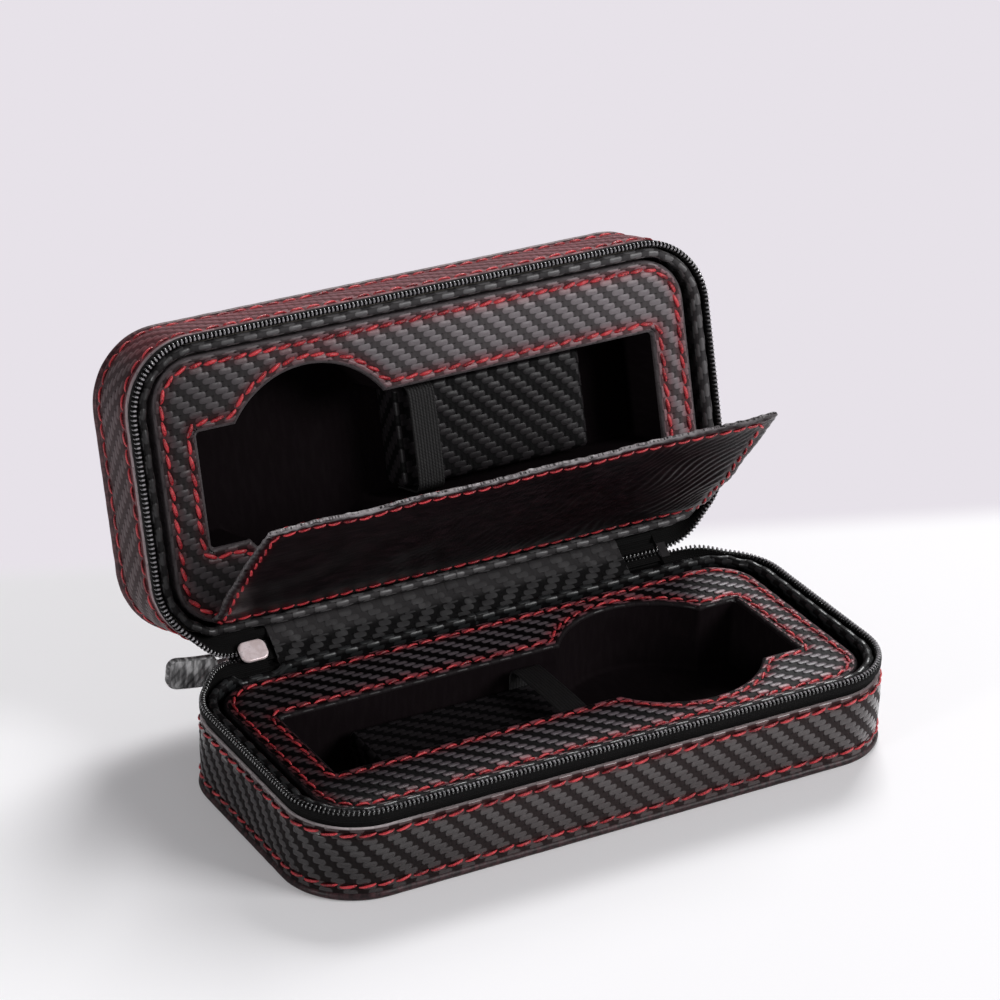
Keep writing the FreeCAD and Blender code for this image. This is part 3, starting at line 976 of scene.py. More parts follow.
class Finishes:
    """Every finish of the case."""

    # base_wall and lid_wall are lit and shaded copies of one leatherette: the lid's wall is painted lighter
    # maroon, the base's darker; their pale edge colour is the painted lip highlight.
    base_wall = CarbonLeatherette("base_wall_leatherette", "carbon_leatherette", colour(66, 60, 60),
                                  colour(40, 33, 33), dye=(1.3, 0.32, 0.34, 1.0),
                                  edge_colour=colour(225, 214, 216), float_roughness=0.22, gloss=0.9,
                                  notch_share=0.7, end_tone=0.1, end_reach=0.085)
    lid_wall = CarbonLeatherette("lid_wall_leatherette", "carbon_leatherette", colour(88, 70, 71),
                                 colour(66, 50, 51), dye=(1.9, 0.62, 0.74, 1.0),
                                 edge_colour=colour(205, 190, 193), float_roughness=0.5, gloss=0.25,
                                 notch_share=0.5, end_tone=0.5, end_reach=0.05)
    # base_tray and lid_tray are lit and shaded copies of one leatherette: the base's floats painted glossy on
    # near-black, the lid's painted lighter grey.
    base_tray = CarbonLeatherette("base_tray_leatherette", "carbon_leatherette", colour(92, 84, 89),
                                  colour(7, 5, 6), dye=(3.2, 0.45, 0.55, 1.0), float_roughness=0.32,
                                  gloss=0.18, light_from=0.5, light_to=0.95,
                                  edge_colour=colour(27, 22, 24), end_tone=0.1, end_reach=0.09)
    lid_tray = CarbonLeatherette("lid_tray_leatherette", "carbon_leatherette", colour(114, 107, 110),
                                 colour(70, 66, 67), dye=(1.6, 0.5, 0.56, 1.0), notch_share=0.75,
                                 edge_colour=colour(84, 78, 80), end_tone=0.0, end_reach=0.125)
    pad = CarbonLeatherette("pad_leatherette", "carbon_leatherette", colour(34, 31, 33), colour(9, 8, 9))
    # base_collar and lid_collar are lit and shaded copies: the base's roll is painted dark, the lid's painted
    # lighter grey.
    base_collar = CarbonLeatherette("base_collar_leatherette", "carbon_leatherette", colour(40, 41, 42),
                                    colour(14, 13, 14), float_roughness=0.3, gloss=0.5, notch_share=0.5)
    lid_collar = CarbonLeatherette("lid_collar_leatherette", "carbon_leatherette", colour(90, 88, 89),
                                   colour(58, 56, 57), float_roughness=0.3, gloss=0.4, notch_share=0.6,
                                   end_tone=0.0, end_reach=0.06)
    # The lining's paler colour is a painted sheen on its half next to the lid.
    lining = CarbonLeatherette("lining_leatherette", "carbon_leatherette", colour(50, 49, 50),
                               colour(9, 8, 9), edge_colour=colour(54, 52, 53), grain=0.00018, gloss=0.4,
                               notch_share=0.6)
    # base_welt and lid_welt are lit and shaded copies: the lid's welt is painted lighter maroon.
    base_welt = PlainLeatherette("base_welt_leatherette", "carbon_leatherette", colour(30, 19, 21),
                                 colour(66, 42, 45), gloss=0.3)
    lid_welt = PlainLeatherette("lid_welt_leatherette", "carbon_leatherette", colour(52, 26, 30),
                                colour(92, 58, 62), gloss=0.3)
    tab = PlainLeatherette("tab_leatherette", "carbon_leatherette", colour(70, 69, 70), colour(180, 179, 180),
                           streak_scale=0.12, streak_turn=-0.9, crease=0.0006, gloss=0.5)
    plain = PlainLeatherette("plain_leatherette", "plain_leatherette", colour(20, 15, 17), colour(23, 18, 20),
                             roughness=0.8, crease=0.00004, gloss=0.02)
    flap = PlainLeatherette("flap_leatherette", "plain_leatherette", colour(10, 6, 8), colour(30, 20, 23),
                            edge_colour=colour(150, 145, 147), roughness=0.4, gloss=0.25)
    thread = Thread("red_thread", "red_thread")
    tape = ZipTape("zip_tape", "zip_tape")
    # coil and base_coil differ only in where painted shade fades the painted head highlight at the left end.
    coil = CoilPlastic("zip_coil", "zip_coil")
    base_coil = CoilPlastic("base_zip_coil", "zip_coil", head_from=-0.1)
    metal = SatinMetal("slider_metal", "slider_metal")
    dark_metal = SatinMetal("dark_metal", "slider_metal", colour(44, 41, 43), colour(30, 28, 29))
    board = Board("stiff_board", "stiff_board")
    foam = Foam("foam", "foam")
    elastic = Elastic("elastic", "elastic")


# What repeats along a path


@dataclass
class Path:
    """A line on the open case, with the direction that faces away from the surface."""

    points: Array
    outward: Array
    closed: bool = True

    @staticmethod
    def facing(points: Array, up: float = 1.0, closed: bool = True) -> "Path":
        """Line that faces up, or down for -1."""
        return Path(points, np.tile([0.0, 0.0, up], (len(points), 1)), closed)

    def length(self) -> float:
        """Length in millimetres."""
        return float(run_length(self.points, self.closed)[-1])

    def placed(self, matrix: Matrix) -> "Path":
        """The same line after a rigid move."""
        turn_only = np.array(matrix)[:3, :3]
        return Path(moved(matrix, self.points), self.outward @ turn_only.T, self.closed)


class AlongPath:
    """Geometry node tree that sets copies of one shape along a path."""

    def __init__(self) -> None:
        """Build the tree and remember its inputs."""
        self.tree = bpy.data.node_groups.new("copies_along_path", "GeometryNodeTree")
        face = self.tree.interface
        face.new_socket("Path", in_out="INPUT", socket_type="NodeSocketGeometry")
        kinds = {"Shape": "Object", "Count": "Int", "Turn": "Float", "Jitter": "Float", "Seed": "Int",
                 "Finish": "Material"}
        self.keys = {name: face.new_socket(name, in_out="INPUT", socket_type="NodeSocket" + kind).identifier
                     for name, kind in kinds.items()}
        face.new_socket("Copies", in_out="OUTPUT", socket_type="NodeSocketGeometry")
        self._fill()

    def _fill(self) -> None:
        """Resample the path, face each copy outwards, turn it a little and realise it."""
        graph = Graph(self.tree)
        entry = graph.add("NodeGroupInput")
        given = {socket.name: Signal(graph, socket) for socket in entry.socket.node.outputs if socket.name}
        jitter = given["Jitter"]
        curve = graph.add("GeometryNodeMeshToCurve", {}, {0: given["Path"]})
        spread = {"Curve": curve, "Count": given["Count"]}
        even = graph.add("GeometryNodeResampleCurve", {"mode": "COUNT"}, spread)
        shape = graph.add("GeometryNodeObjectInfo", {}, {"Object": given["Shape"]}, "Geometry")
        tangent = graph.add("GeometryNodeInputTangent")
        outward = graph.add("GeometryNodeInputNamedAttribute", {"data_type": "FLOAT_VECTOR"},
                            {"Name": "outward"}, "Attribute")
        facing = graph.add("FunctionNodeAxesToRotation", {"primary_axis": "Z", "secondary_axis": "X"},
                           {"Primary Axis": outward, "Secondary Axis": tangent})
        chance, other = (graph.add("FunctionNodeRandomValue", {"data_type": "FLOAT"},
                                   {"Min_001": -1.0, "Max_001": 1.0, "Seed": seed}, "Value_001")
                         for seed in (given["Seed"], given["Seed"] + 7))
        angle = graph.add("ShaderNodeCombineXYZ", {}, {0: other * jitter, 1: other * jitter * 0.4,
                                                       2: given["Turn"] + chance * jitter})
        small = graph.add("FunctionNodeEulerToRotation", {}, {0: angle})
        whole = graph.add("FunctionNodeRotateRotation", {"rotation_space": "LOCAL"},
                          {"Rotation": facing, "Rotate By": small})
        grow = chance * jitter * 0.5 + 1
        scale = graph.add("ShaderNodeCombineXYZ", {}, {0: grow, 1: other * jitter + 1, 2: 1.0})
        copies = graph.add("GeometryNodeInstanceOnPoints", {},
                           {"Points": even, "Instance": shape, "Rotation": whole, "Scale": scale})
        solid = graph.add("GeometryNodeRealizeInstances", {}, {0: copies})
        finish = {"Geometry": solid, "Material": given["Finish"]}
        graph.add("NodeGroupOutput", {}, {0: graph.add("GeometryNodeSetMaterial", {}, finish)})

    def lay(self, name: str, path: Path, shape: bpy.types.Object, pitch: float, finish: Finish,
            turn_by: float = 0.0, jitter: float = 0.0, seed: int = 1) -> bpy.types.Object:
        """Set copies along a path and return them as one plain mesh.

        Args:
            name: Name of the piece.
            path: The path, in millimetres on the open case.
            shape: The shape that is copied, drawn in metres.
            pitch: Distance between copies, in millimetres.
            finish: Finish of the copies.
            turn_by: Turn of each copy about the outward direction, in degrees.
            jitter: Size of the random changes.
            seed: Chooses the random changes.

        Returns:
            The new object.
        """
        mesh = bpy.data.meshes.new(name)
        count = len(path.points)
        edges = [(i, (i + 1) % count) for i in range(count if path.closed else count - 1)]
        mesh.from_pydata((path.points * MM).tolist(), edges, [])
        field = mesh.attributes.new("outward", "FLOAT_VECTOR", "POINT")
        field.data.foreach_set("vector", path.outward.astype(np.float32).ravel())
        holder = bpy.data.objects.new(name + "_path", mesh)
        bpy.context.scene.collection.objects.link(holder)
        modifier = holder.modifiers.new("copies", "NODES")
        modifier.node_group = self.tree
        copies = max(2, round(path.length() / pitch) + (0 if path.closed else 1))
        values = {"Shape": shape, "Count": copies, "Turn": math.radians(turn_by), "Jitter": jitter,
                  "Seed": seed, "Finish": finish.material()}
        for label, value in values.items():
            modifier[self.keys[label]] = value
        ready = holder.evaluated_get(bpy.context.evaluated_depsgraph_get())
        result = bpy.data.meshes.new_from_object(ready)
        result.name = name
        bpy.data.objects.remove(holder)
        piece = bpy.data.objects.new(name, result)
        bpy.context.scene.collection.objects.link(piece)
        return piece


def dress(piece: bpy.types.Object, body: str, finish: Finish, *nodes: str) -> bpy.types.Object:
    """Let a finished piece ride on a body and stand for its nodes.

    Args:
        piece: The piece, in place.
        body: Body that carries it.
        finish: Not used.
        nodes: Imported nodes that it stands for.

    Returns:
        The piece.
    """
    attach(piece, body)
    if nodes:
        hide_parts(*nodes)
    log.info("%s on %s, %d faces", piece.name, body, len(piece.data.polygons))
    return piece


def dress_between(piece: bpy.types.Object, bodies: tuple[str, str], ends: tuple[Vector, Vector],
                  finish: Finish, *nodes: str) -> None:
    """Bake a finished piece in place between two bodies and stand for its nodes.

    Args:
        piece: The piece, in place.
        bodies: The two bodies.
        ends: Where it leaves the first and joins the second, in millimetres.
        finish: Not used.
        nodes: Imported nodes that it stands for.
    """
    tuple(ends[0] * MM)
    tuple(ends[1] * MM)
    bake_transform(piece)
    if nodes:
        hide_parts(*nodes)
    log.info("%s between %s and %s", piece.name, *bodies)


def bar(name: str, line: Array, radii: Array, sides: int, flatten: float = 1.0) -> bpy.types.Object:
    """Closed round bar along a short line, kept out of the scene, for copying.

    Args:
        name: Name of the shape.
        line: Points of the bar's middle, in millimetres.
        radii: Radius at each point.
        sides: Number of sides.
        flatten: Height of the section as a share of its width.

    Returns:
        The shape's object, in metres.
    """
    along = np.gradient(line, axis=0)
    along /= np.linalg.norm(along, axis=1)[:, None]
    across = np.cross(along, [0.31, 0.95, 0.05])
    across /= np.linalg.norm(across, axis=1)[:, None]
    up = np.cross(across, along)
    angle = (np.arange(sides) * 2 * math.pi / sides)[None, :, None]
    ring = np.cos(angle) * up[:, None, :] + np.sin(angle) * across[:, None, :]
    points = line[:, None, :] + ring * radii[:, None, None]
    points[..., 2] = line[:, None, 2] + (points[..., 2] - line[:, None, 2]) * flatten
    shape = Patchwork()
    shape.rod(points, np.arange(len(line)) * 0.7, np.arange(sides + 1) * 0.4)
    made = shape.build(name, Matrix.Identity(4), Finishes.thread)
    made.data.materials.clear()
    bpy.context.scene.collection.objects.unlink(made)
    return made


@dataclass(frozen=True)
class Stitch:
    """One kind of stitch: its shape and how the stitches follow each other."""

    shape: bpy.types.Object
    pitch: float
    turn_by: float
    jitter: float


class Supplies:
    """Stitches, zip tooth and node tree that all sub-assemblies share."""

    TOOTH_PITCH = 1.38

    def __init__(self) -> None:
        """Make the stitches, the zip tooth and the tree."""
        self.along = AlongPath()
        self.wall_stitch = Stitch(self._strand("wall_stitch", 4.8, 0.45), 5.6, 4, 0.08)
        self.fine_stitch = Stitch(self._strand("fine_stitch", 4.3, 0.43), 4.9, 5, 0.09)
        self.thick_stitch = Stitch(self._strand("thick_stitch", 4.45, 0.62), 4.9, 5, 0.09)
        self.tooth = self._tooth()

    @staticmethod
    def _strand(name: str, length: float, radius: float) -> bpy.types.Object:
        """A strand that dips into the leatherette at both ends."""
        share = np.linspace(-1, 1, 9)
        line = np.stack([share * length / 2, 0.2 * share, 0.2 - 0.62 * np.abs(share) ** 3.5], 1)
        return bar(name, line, radius * (1 - 0.55 * np.abs(share) ** 3), 8, 0.8)

    @staticmethod
    def _tooth() -> bpy.types.Object:
        """One turn of the coil: two legs and a rounded head."""
        leg = np.array([[-0.12, -0.6, 0.1], [-0.1, -0.66, 0.35], [-0.06, -0.6, 0.7], [-0.02, -0.34, 1.1]])
        legs = np.vstack([leg, [[0.0, 0.0, 1.26]], leg[::-1] * [-1, -1, 1]])
        return bar("tooth", legs, np.full(len(legs), 0.34), 6)

    def sew(self, name: str, body: str, path: Path, stitch: Stitch, seed: int,
            *nodes: str) -> bpy.types.Object:
        """Sew a seam in red thread.

        Args:
            name: Name of the piece.
            body: Body that carries it.
            path: Line of the seam.
            stitch: Kind of stitch.
            seed: Chooses the random changes.
            nodes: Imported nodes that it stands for.

        Returns:
            The seam.
        """
        piece = self.along.lay(name, path, stitch.shape, stitch.pitch, Finishes.thread, stitch.turn_by,
                               stitch.jitter, seed)
        return dress(piece, body, Finishes.thread, *nodes)

    def teeth(self, name: str, path: Path, finish: Finish, seed: int,
              jitter: float = 0.02) -> bpy.types.Object:
        """Zip teeth along a path."""
        return self.along.lay(name, path, self.tooth, self.TOOTH_PITCH, finish, 0.0, jitter, seed)


# One half of the case


class Side(Enum):
    """Which half is being dressed."""

    BASE = "base"
    LID = "lid"


@dataclass
class Half:
    """What the sub-assemblies of one half share."""

    side: Side
    supplies: Supplies
    outline: Outline

    def __post_init__(self) -> None:
        """Set the half's place on the open case."""
        self.is_lid = self.side is Side.LID
        self.place = FOLDING.lid_half if self.is_lid else Matrix.Identity(4)
        self.body = self.side.value

    def name(self, part: str) -> str:
        """Name of a piece on this side."""
        return f"{self.body}_{part}"

    def finished(self, made: Patchwork, part: str, node: str, finish: Finish,
                 tints: dict | None = None) -> bpy.types.Object:
        """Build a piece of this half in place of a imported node.

        Args:
            made: Mesh of the piece.
            part: Its name without the side.
            node: Name of the node without the side.
            finish: Its surface.
            tints: Functions of its points for the tints of the finish.

        Returns:
            The piece.
        """
        piece = made.build(self.name(part), self.place, finish, tints)
        return dress(piece, self.body, finish, self.name(node))


@dataclass
class Shell(Half):
    """Outside of one half: bottom skin, welt and wall with its two seams."""

    seam_inset: float = 2.2
    seam_dip: float = 0.3
    seam_width: float = 0.55
    crown: float = 0.3
    edge_round: float = 0.55
    relief: float = 0.13
    tucked: float = 0.4
    slack: float = 0.12

    def __post_init__(self) -> None:
        """Read the heights and insets from the frame."""
        super().__post_init__()
        nodes = ("base_edge_welt", "base_bottom_skin", "base_zip_tape")
        welt, skin, tape = (node_box(node)[1] for node in nodes)
        wall_low, wall_high = node_box("base_side_wall")
        self.welt_radius = welt[2] / 2
        self.wall_inset = welt[0] - wall_high[0]
        self.wall_inner = welt[0] - tape[0]
        self.low, self.high = wall_low[2], wall_high[2]
        self.skin_inset = welt[0] - skin[0]
        self.skin_thickness = skin[2]
        self.rows = (self.low + self.seam_inset, self.high - self.seam_inset)
        self.wall_finish = Finishes.lid_wall if self.is_lid else Finishes.base_wall

    def wall_inset_at(self, u: Array, z: Array) -> Array:
        """Inset of the wall's outer face, from its crown, seams, rolled edge and embossing.

        Args:
            u: Distances along the wall.
            z: Heights.

        Returns:
            Insets from the case's outline.
        """
        share = (z - self.rows[0]) / (self.rows[1] - self.rows[0])
        bulge = self.crown * np.sin(np.clip(share, 0, 1) * math.pi) ** 0.7
        for row in self.rows:
            bulge = bulge - self.seam_dip * bell(z - row, self.seam_width)
        over = np.clip((z - self.high + self.edge_round) / self.edge_round, 0, 1)
        rolled = self.edge_round * (1 - np.sqrt(np.maximum(0, 1 - over**2)))
        between = smooth(0.7, 1.6, z - self.rows[0]) * smooth(0.7, 1.6, self.rows[1] - z)
        raised = self.relief * TWILL.relief(u, z) * between
        return self.wall_inset + 0.1 - bulge + rolled - raised - self.slack * ripple(26, 3, u, z) * between

    def redness(self, points: Array) -> Array:
        """Red tint round the seams and on the strip above the upper one, and a painted lighter maroon on the lid's
        upper side, where light falls from above.
        """
        near = sum(bell(points[:, 2] - row, 1.3) for row in self.rows)
        strip = smooth(self.rows[1], self.rows[1] + 0.6, points[:, 2]) * 0.75
        # Painted light: the lid's upper side is tinted lighter maroon.
        upper = smooth(0.8, 0.98, -points[:, 1] / self.outline.half_y) * 0.9 if self.is_lid else 0
        return np.clip(near * 0.7 + strip + upper, 0, 1)

    def lip(self, points: Array) -> Array:
        """Painted highlight along the wall's rolled top edge, where the spine does not cover it."""
        spine_end = -node_box("spine_cover")[0][0]
        bare = np.maximum(smooth(spine_end + 14, spine_end + 18, np.abs(points[:, 0])), points[:, 1] < 0)
        corner = 0.35 + 0.65 * smooth(60, 85, points[:, 0] if self.is_lid else -points[:, 0])
        return smooth(self.high - 0.35, self.high - 0.05, points[:, 2]) * bare * corner

    def wall(self) -> None:
        """Wall skin with a rolled top edge."""
        distance = self.outline.loop(FINE)
        repeat = TWILL.tow * TWILL.repeat
        scale = repeat * round(self.outline.length / repeat)
        u = np.append(distance, self.outline.length) * scale / self.outline.length
        bottom = self.low - self.tucked
        z = np.linspace(bottom, self.high, round((self.high - self.low + self.tucked) / FINE))
        places = self.outline.at(distance)
        outer = beside(places, self.wall_inset_at(*np.meshgrid(u[:-1], z, indexing="ij")), z)
        inner = beside(places, np.full(3, self.wall_inner),
                       np.array([self.high - 0.1, self.high - 4, bottom]))
        v = np.concatenate([z, self.high + np.array([1.2, 5.0, 25.0, 27.0])])
        made = Patchwork()
        made.grid(np.concatenate([outer, inner], 1), u, v, ring=True, tube=True)
        tints = {"redness": self.redness, "worn": self.lip}
        self.finished(made, "wall_skin", "side_wall", self.wall_finish, tints)

    def welt(self) -> None:
        """Rolled welt round the outside face."""
        distance = self.outline.loop(1.2)
        angle = np.linspace(0, 2 * math.pi, 16, endpoint=False)
        radius = self.welt_radius
        wobble = 1 + 0.03 * ripple(9, 5, distance)
        inset = radius - radius * np.cos(angle)[None, :] * wobble[:, None]
        points = beside(self.outline.at(distance), inset, radius + radius * np.sin(angle))
        made = Patchwork()
        u, v = np.append(distance, self.outline.length), np.append(angle, 2 * math.pi) * radius
        made.grid(points, u, v, ring=True, tube=True)
        finish = Finishes.lid_welt if self.is_lid else Finishes.base_welt
        self.finished(made, "welt_roll", "edge_welt", finish)

    def bottom(self) -> None:
        """Outside face, embossed and let in between the welt."""
        edge = self.outline.inset(self.skin_inset - self.welt_radius * 0.9)
        loops = [ring.at(ring.loop(COARSE))[0] for ring in (edge.inset(0.0), edge.inset(0.5))]
        flat, triangles = filled(loops, edge.gap, COARSE, edge.gap, 0.9)
        depth = edge.gap(flat[:, 0], flat[:, 1])
        raised = TWILL.relief(flat[:, 0], flat[:, 1]) * smooth(0.5, 1.6, depth)
        made = Patchwork()
        made.web(level(flat, self.relief * (1 - raised) + 0.5 * (1 - smooth(0, 0.9, depth))), triangles)
        top, low = level(loops[0], self.skin_thickness), level(loops[0], self.relief + 0.5)
        made.grid(np.stack([low, top], 1), np.arange(len(top) + 1) * COARSE, np.array([0.0, 1.0]), ring=True)
        made.cap(top)
        self.finished(made, "outer_face", "top_skin" if self.is_lid else "bottom_skin", self.wall_finish)

    def seams(self) -> None:
        """Two rows of stitches round the wall."""
        spot, normal = self.outline.at(self.outline.loop(1.0))
        line = spot - normal * (self.wall_inset - 0.02)
        for label, z, nodes in (("low_seam", self.rows[0], (self.name("wall_thread"),)),
                                ("high_seam", self.rows[1], ())):
            path = Path(level(line, z), level(normal, 0.0)).placed(self.place)
            self.supplies.sew(self.name(label), self.body, path, self.supplies.wall_stitch, 11, *nodes)

    def build(self) -> None:
        """Make every piece of the shell."""
        self.wall()
        self.welt()
        self.bottom()
        self.seams()


@dataclass
class ZipRing(Half):
    """Tape and coil round one half, without their two ends."""

    left_lead: float = 94.0
    right_lead: float = 91.0
    coil_half: float = 1.1

    def __post_init__(self) -> None:
        """Read the tape's and the coil's places from the frame."""
        super().__post_init__()
        tape_low, tape_high = node_box("base_zip_tape")
        coil_low, coil_high = node_box("base_zip_coil")
        self.tape_low = tape_low[2]
        self.coil_middle = (coil_low[2] + coil_high[2]) / 2
        self.tape_inset = self.outline.half_x - tape_high[0]
        self.coil_inset = self.outline.half_x - coil_high[0] + self.coil_half
        leads = (self.left_lead, self.right_lead)
        first, last = leads[::-1] if self.is_lid else leads
        self.start = self.outline.back_distance(first)
        self.end = self.outline.length - self.outline.back_distance(last)
        self.finish = Finishes.coil if self.is_lid else Finishes.base_coil

    def tape_profile(self) -> Array:
        """Section of the tape: inset and height of each corner."""
        back, front, coil = self.tape_inset + 0.8, self.tape_inset, self.coil_inset
        fold, edge, top = self.coil_middle - 2.8, self.coil_middle + 0.1, self.coil_middle + 0.5
        return np.array([[back, self.tape_low], [front, self.tape_low], [front, fold],
                         [coil - 0.95, fold + 1.1],
                         [coil - 1.0, edge], [coil - 0.6, top], [coil + 0.6, top], [coil + 1.0, edge],
                         [coil + 0.95, fold + 1.1], [back, fold]])

    def tape_mesh(self, distance: Array, bend: Shape | None = None) -> Patchwork:
        """Tape along a stretch of the outline.

        Args:
            distance: Distances along the outline.
            bend: Function that folds the points of the tape.

        Returns:
            Mesh of the tape.
        """
        profile = self.tape_profile()
        points = beside(self.outline.at(distance), profile[:, 0], profile[:, 1])
        made = Patchwork()
        made.rod(bend(points) if bend else points, distance, run_length(profile))
        return made

    def coil_path(self, distance: Array) -> Path:
        """Middle of the coil along a stretch of the outline, facing the other half."""
        spot, normal = self.outline.at(distance)
        return Path.facing(level(spot - normal * self.coil_inset, self.coil_middle), closed=False)

    def build(self) -> None:
        """Make the tape and the teeth that ride on this half."""
        distance = np.linspace(self.start, self.end, round((self.end - self.start) / 1.2))
        self.finished(self.tape_mesh(distance), "tape_ring", "zip_tape", Finishes.tape)
        path = self.coil_path(distance).placed(self.place)
        coil = self.supplies.teeth(self.name("coil_ring"), path, self.finish, 3)
        dress(coil, self.body, self.finish, self.name("zip_coil"))


@dataclass
class ZipEnds:
    """Ends of the two tapes, which bend from each half into the spine."""

    ring: ZipRing
    left_joined: float = 77.5
    right_joined: float = 74.5
    left_near: float = 68.0
    right_near: float = 70.8

    def _lead(self, side: Side, left: bool) -> None:
        """One end of one tape with its teeth.

        Args:
            side: Half that the tape comes from.
            left: Whether it is the left end.
        """
        ring, outline = self.ring, self.ring.outline
        reach = ring.left_lead if left else ring.right_lead
        joined = self.left_joined if left else self.right_joined
        near = self.left_near if left else self.right_near
        run = np.linspace(outline.back_distance(near), outline.back_distance(reach), 40)
        distance = run if left else outline.length - run
        over = side is Side.LID
        upper = Matrix.Translation((0, 0, 2 * FOLDING.half_height)) @ Matrix.Scale(-1, 4, Vector((0, 0, 1)))

        def bend(points: Array) -> Array:
            """Fold points of the base's drawing into place, between the joint and the half."""
            share = smooth(0, 1, (np.abs(points[..., 0]) - joined) / (reach - joined))
            if over:
                return FOLDING.lid_bend(moved(upper, points), share)
            return FOLDING.base_bend(points, 1 - share)

        label = f"{side.value}_{'left' if left else 'right'}"
        tape = ring.tape_mesh(distance, bend).build(label + "_tape_end", Matrix.Identity(4), Finishes.tape)
        flat = ring.coil_path(distance if left else distance[::-1])
        points = bend(flat.points)
        path = Path(points, bend(flat.points + flat.outward) - points, closed=False)
        teeth = Finishes.coil if over else Finishes.base_coil
        coil = ring.supplies.teeth(label + "_coil_end", path, teeth, 5)
        bodies = ("spine", "lid") if over else ("base", "spine")
        ends = [Vector((-stop if left else stop, 0, 0)) for stop in (joined, reach)]
        for piece, finish in ((tape, Finishes.tape), (coil, teeth)):
            dress_between(piece, bodies, ends if over else ends[::-1], finish)

    def build(self) -> None:
        """Make the four ends."""
        for side in Side:
            for left in (True, False):
                self._lead(side, left)


@dataclass
class Collar(Half):
    """Leatherette strip inside the zip, with a rolled top."""

    roll_radius: float = 1.4
    roll_inset: float = 4.5
    rise: float = 4.5
    relief: float = 0.08
    notch_middle: float = -73.7
    notch_half: float = 7.5
    notch_drop: float = 2.3

    def profile(self, low: float, middle: float) -> Array:
        """Section of strip and roll.

        Args:
            low: Height of the strip's foot.
            middle: Height of the roll's middle.

        Returns:
            Inset and height of each corner.
        """
        angle = np.radians(np.linspace(-35, 215, 22))
        outside, inside = self.roll_inset - 0.5, self.roll_inset + 0.9
        roll = np.column_stack([self.roll_inset - self.roll_radius * np.cos(angle),
                                middle + self.roll_radius * np.sin(angle)])
        return np.vstack([[outside, low], [outside, middle - 2.0], roll,
                          [inside, middle - 2.4], [inside, low]])

    def build(self) -> None:
        """Strip and roll, pressed down where the slider's inner plate runs."""
        middle = node_box("base_side_wall")[1][2] + self.rise - self.roll_radius
        profile = self.profile(node_box("base_inner_collar")[0][2], middle)
        distance, steps = self.outline.loop(0.8), run_length(profile)
        spot, normal = self.outline.at(distance)
        inset, height = (np.tile(profile[:, k], (len(spot), 1)) for k in range(2))
        corner = np.prod(np.clip(np.abs(normal), 0, 1), 1) * 2
        uu, vv = np.meshgrid(distance, steps[:-1], indexing="ij")
        swell = ripple(5.5, 8, uu, vv) * (0.07 + 0.16 * corner)[:, None] + self.relief * TWILL.relief(uu, vv)
        on_roll = smooth(middle - 2.0, middle - 0.6, height)
        inset += (inset - self.roll_inset) / self.roll_radius * swell * on_roll
        height += (height - middle) / self.roll_radius * swell * on_roll
        notch = -self.notch_middle if self.is_lid else self.notch_middle
        near = 1 - smooth(self.notch_half - 1.5, self.notch_half + 2.5, np.abs(spot[:, 0] - notch))
        height -= on_roll * (near * (spot[:, 1] > 0))[:, None] * self.notch_drop
        made = Patchwork()
        u = np.append(distance, self.outline.length)
        made.grid(beside((spot, normal), inset, height), u, steps, ring=True, tube=True)
        finish = Finishes.lid_collar if self.is_lid else Finishes.base_collar
        self.finished(made, "collar_roll", "inner_collar", finish)


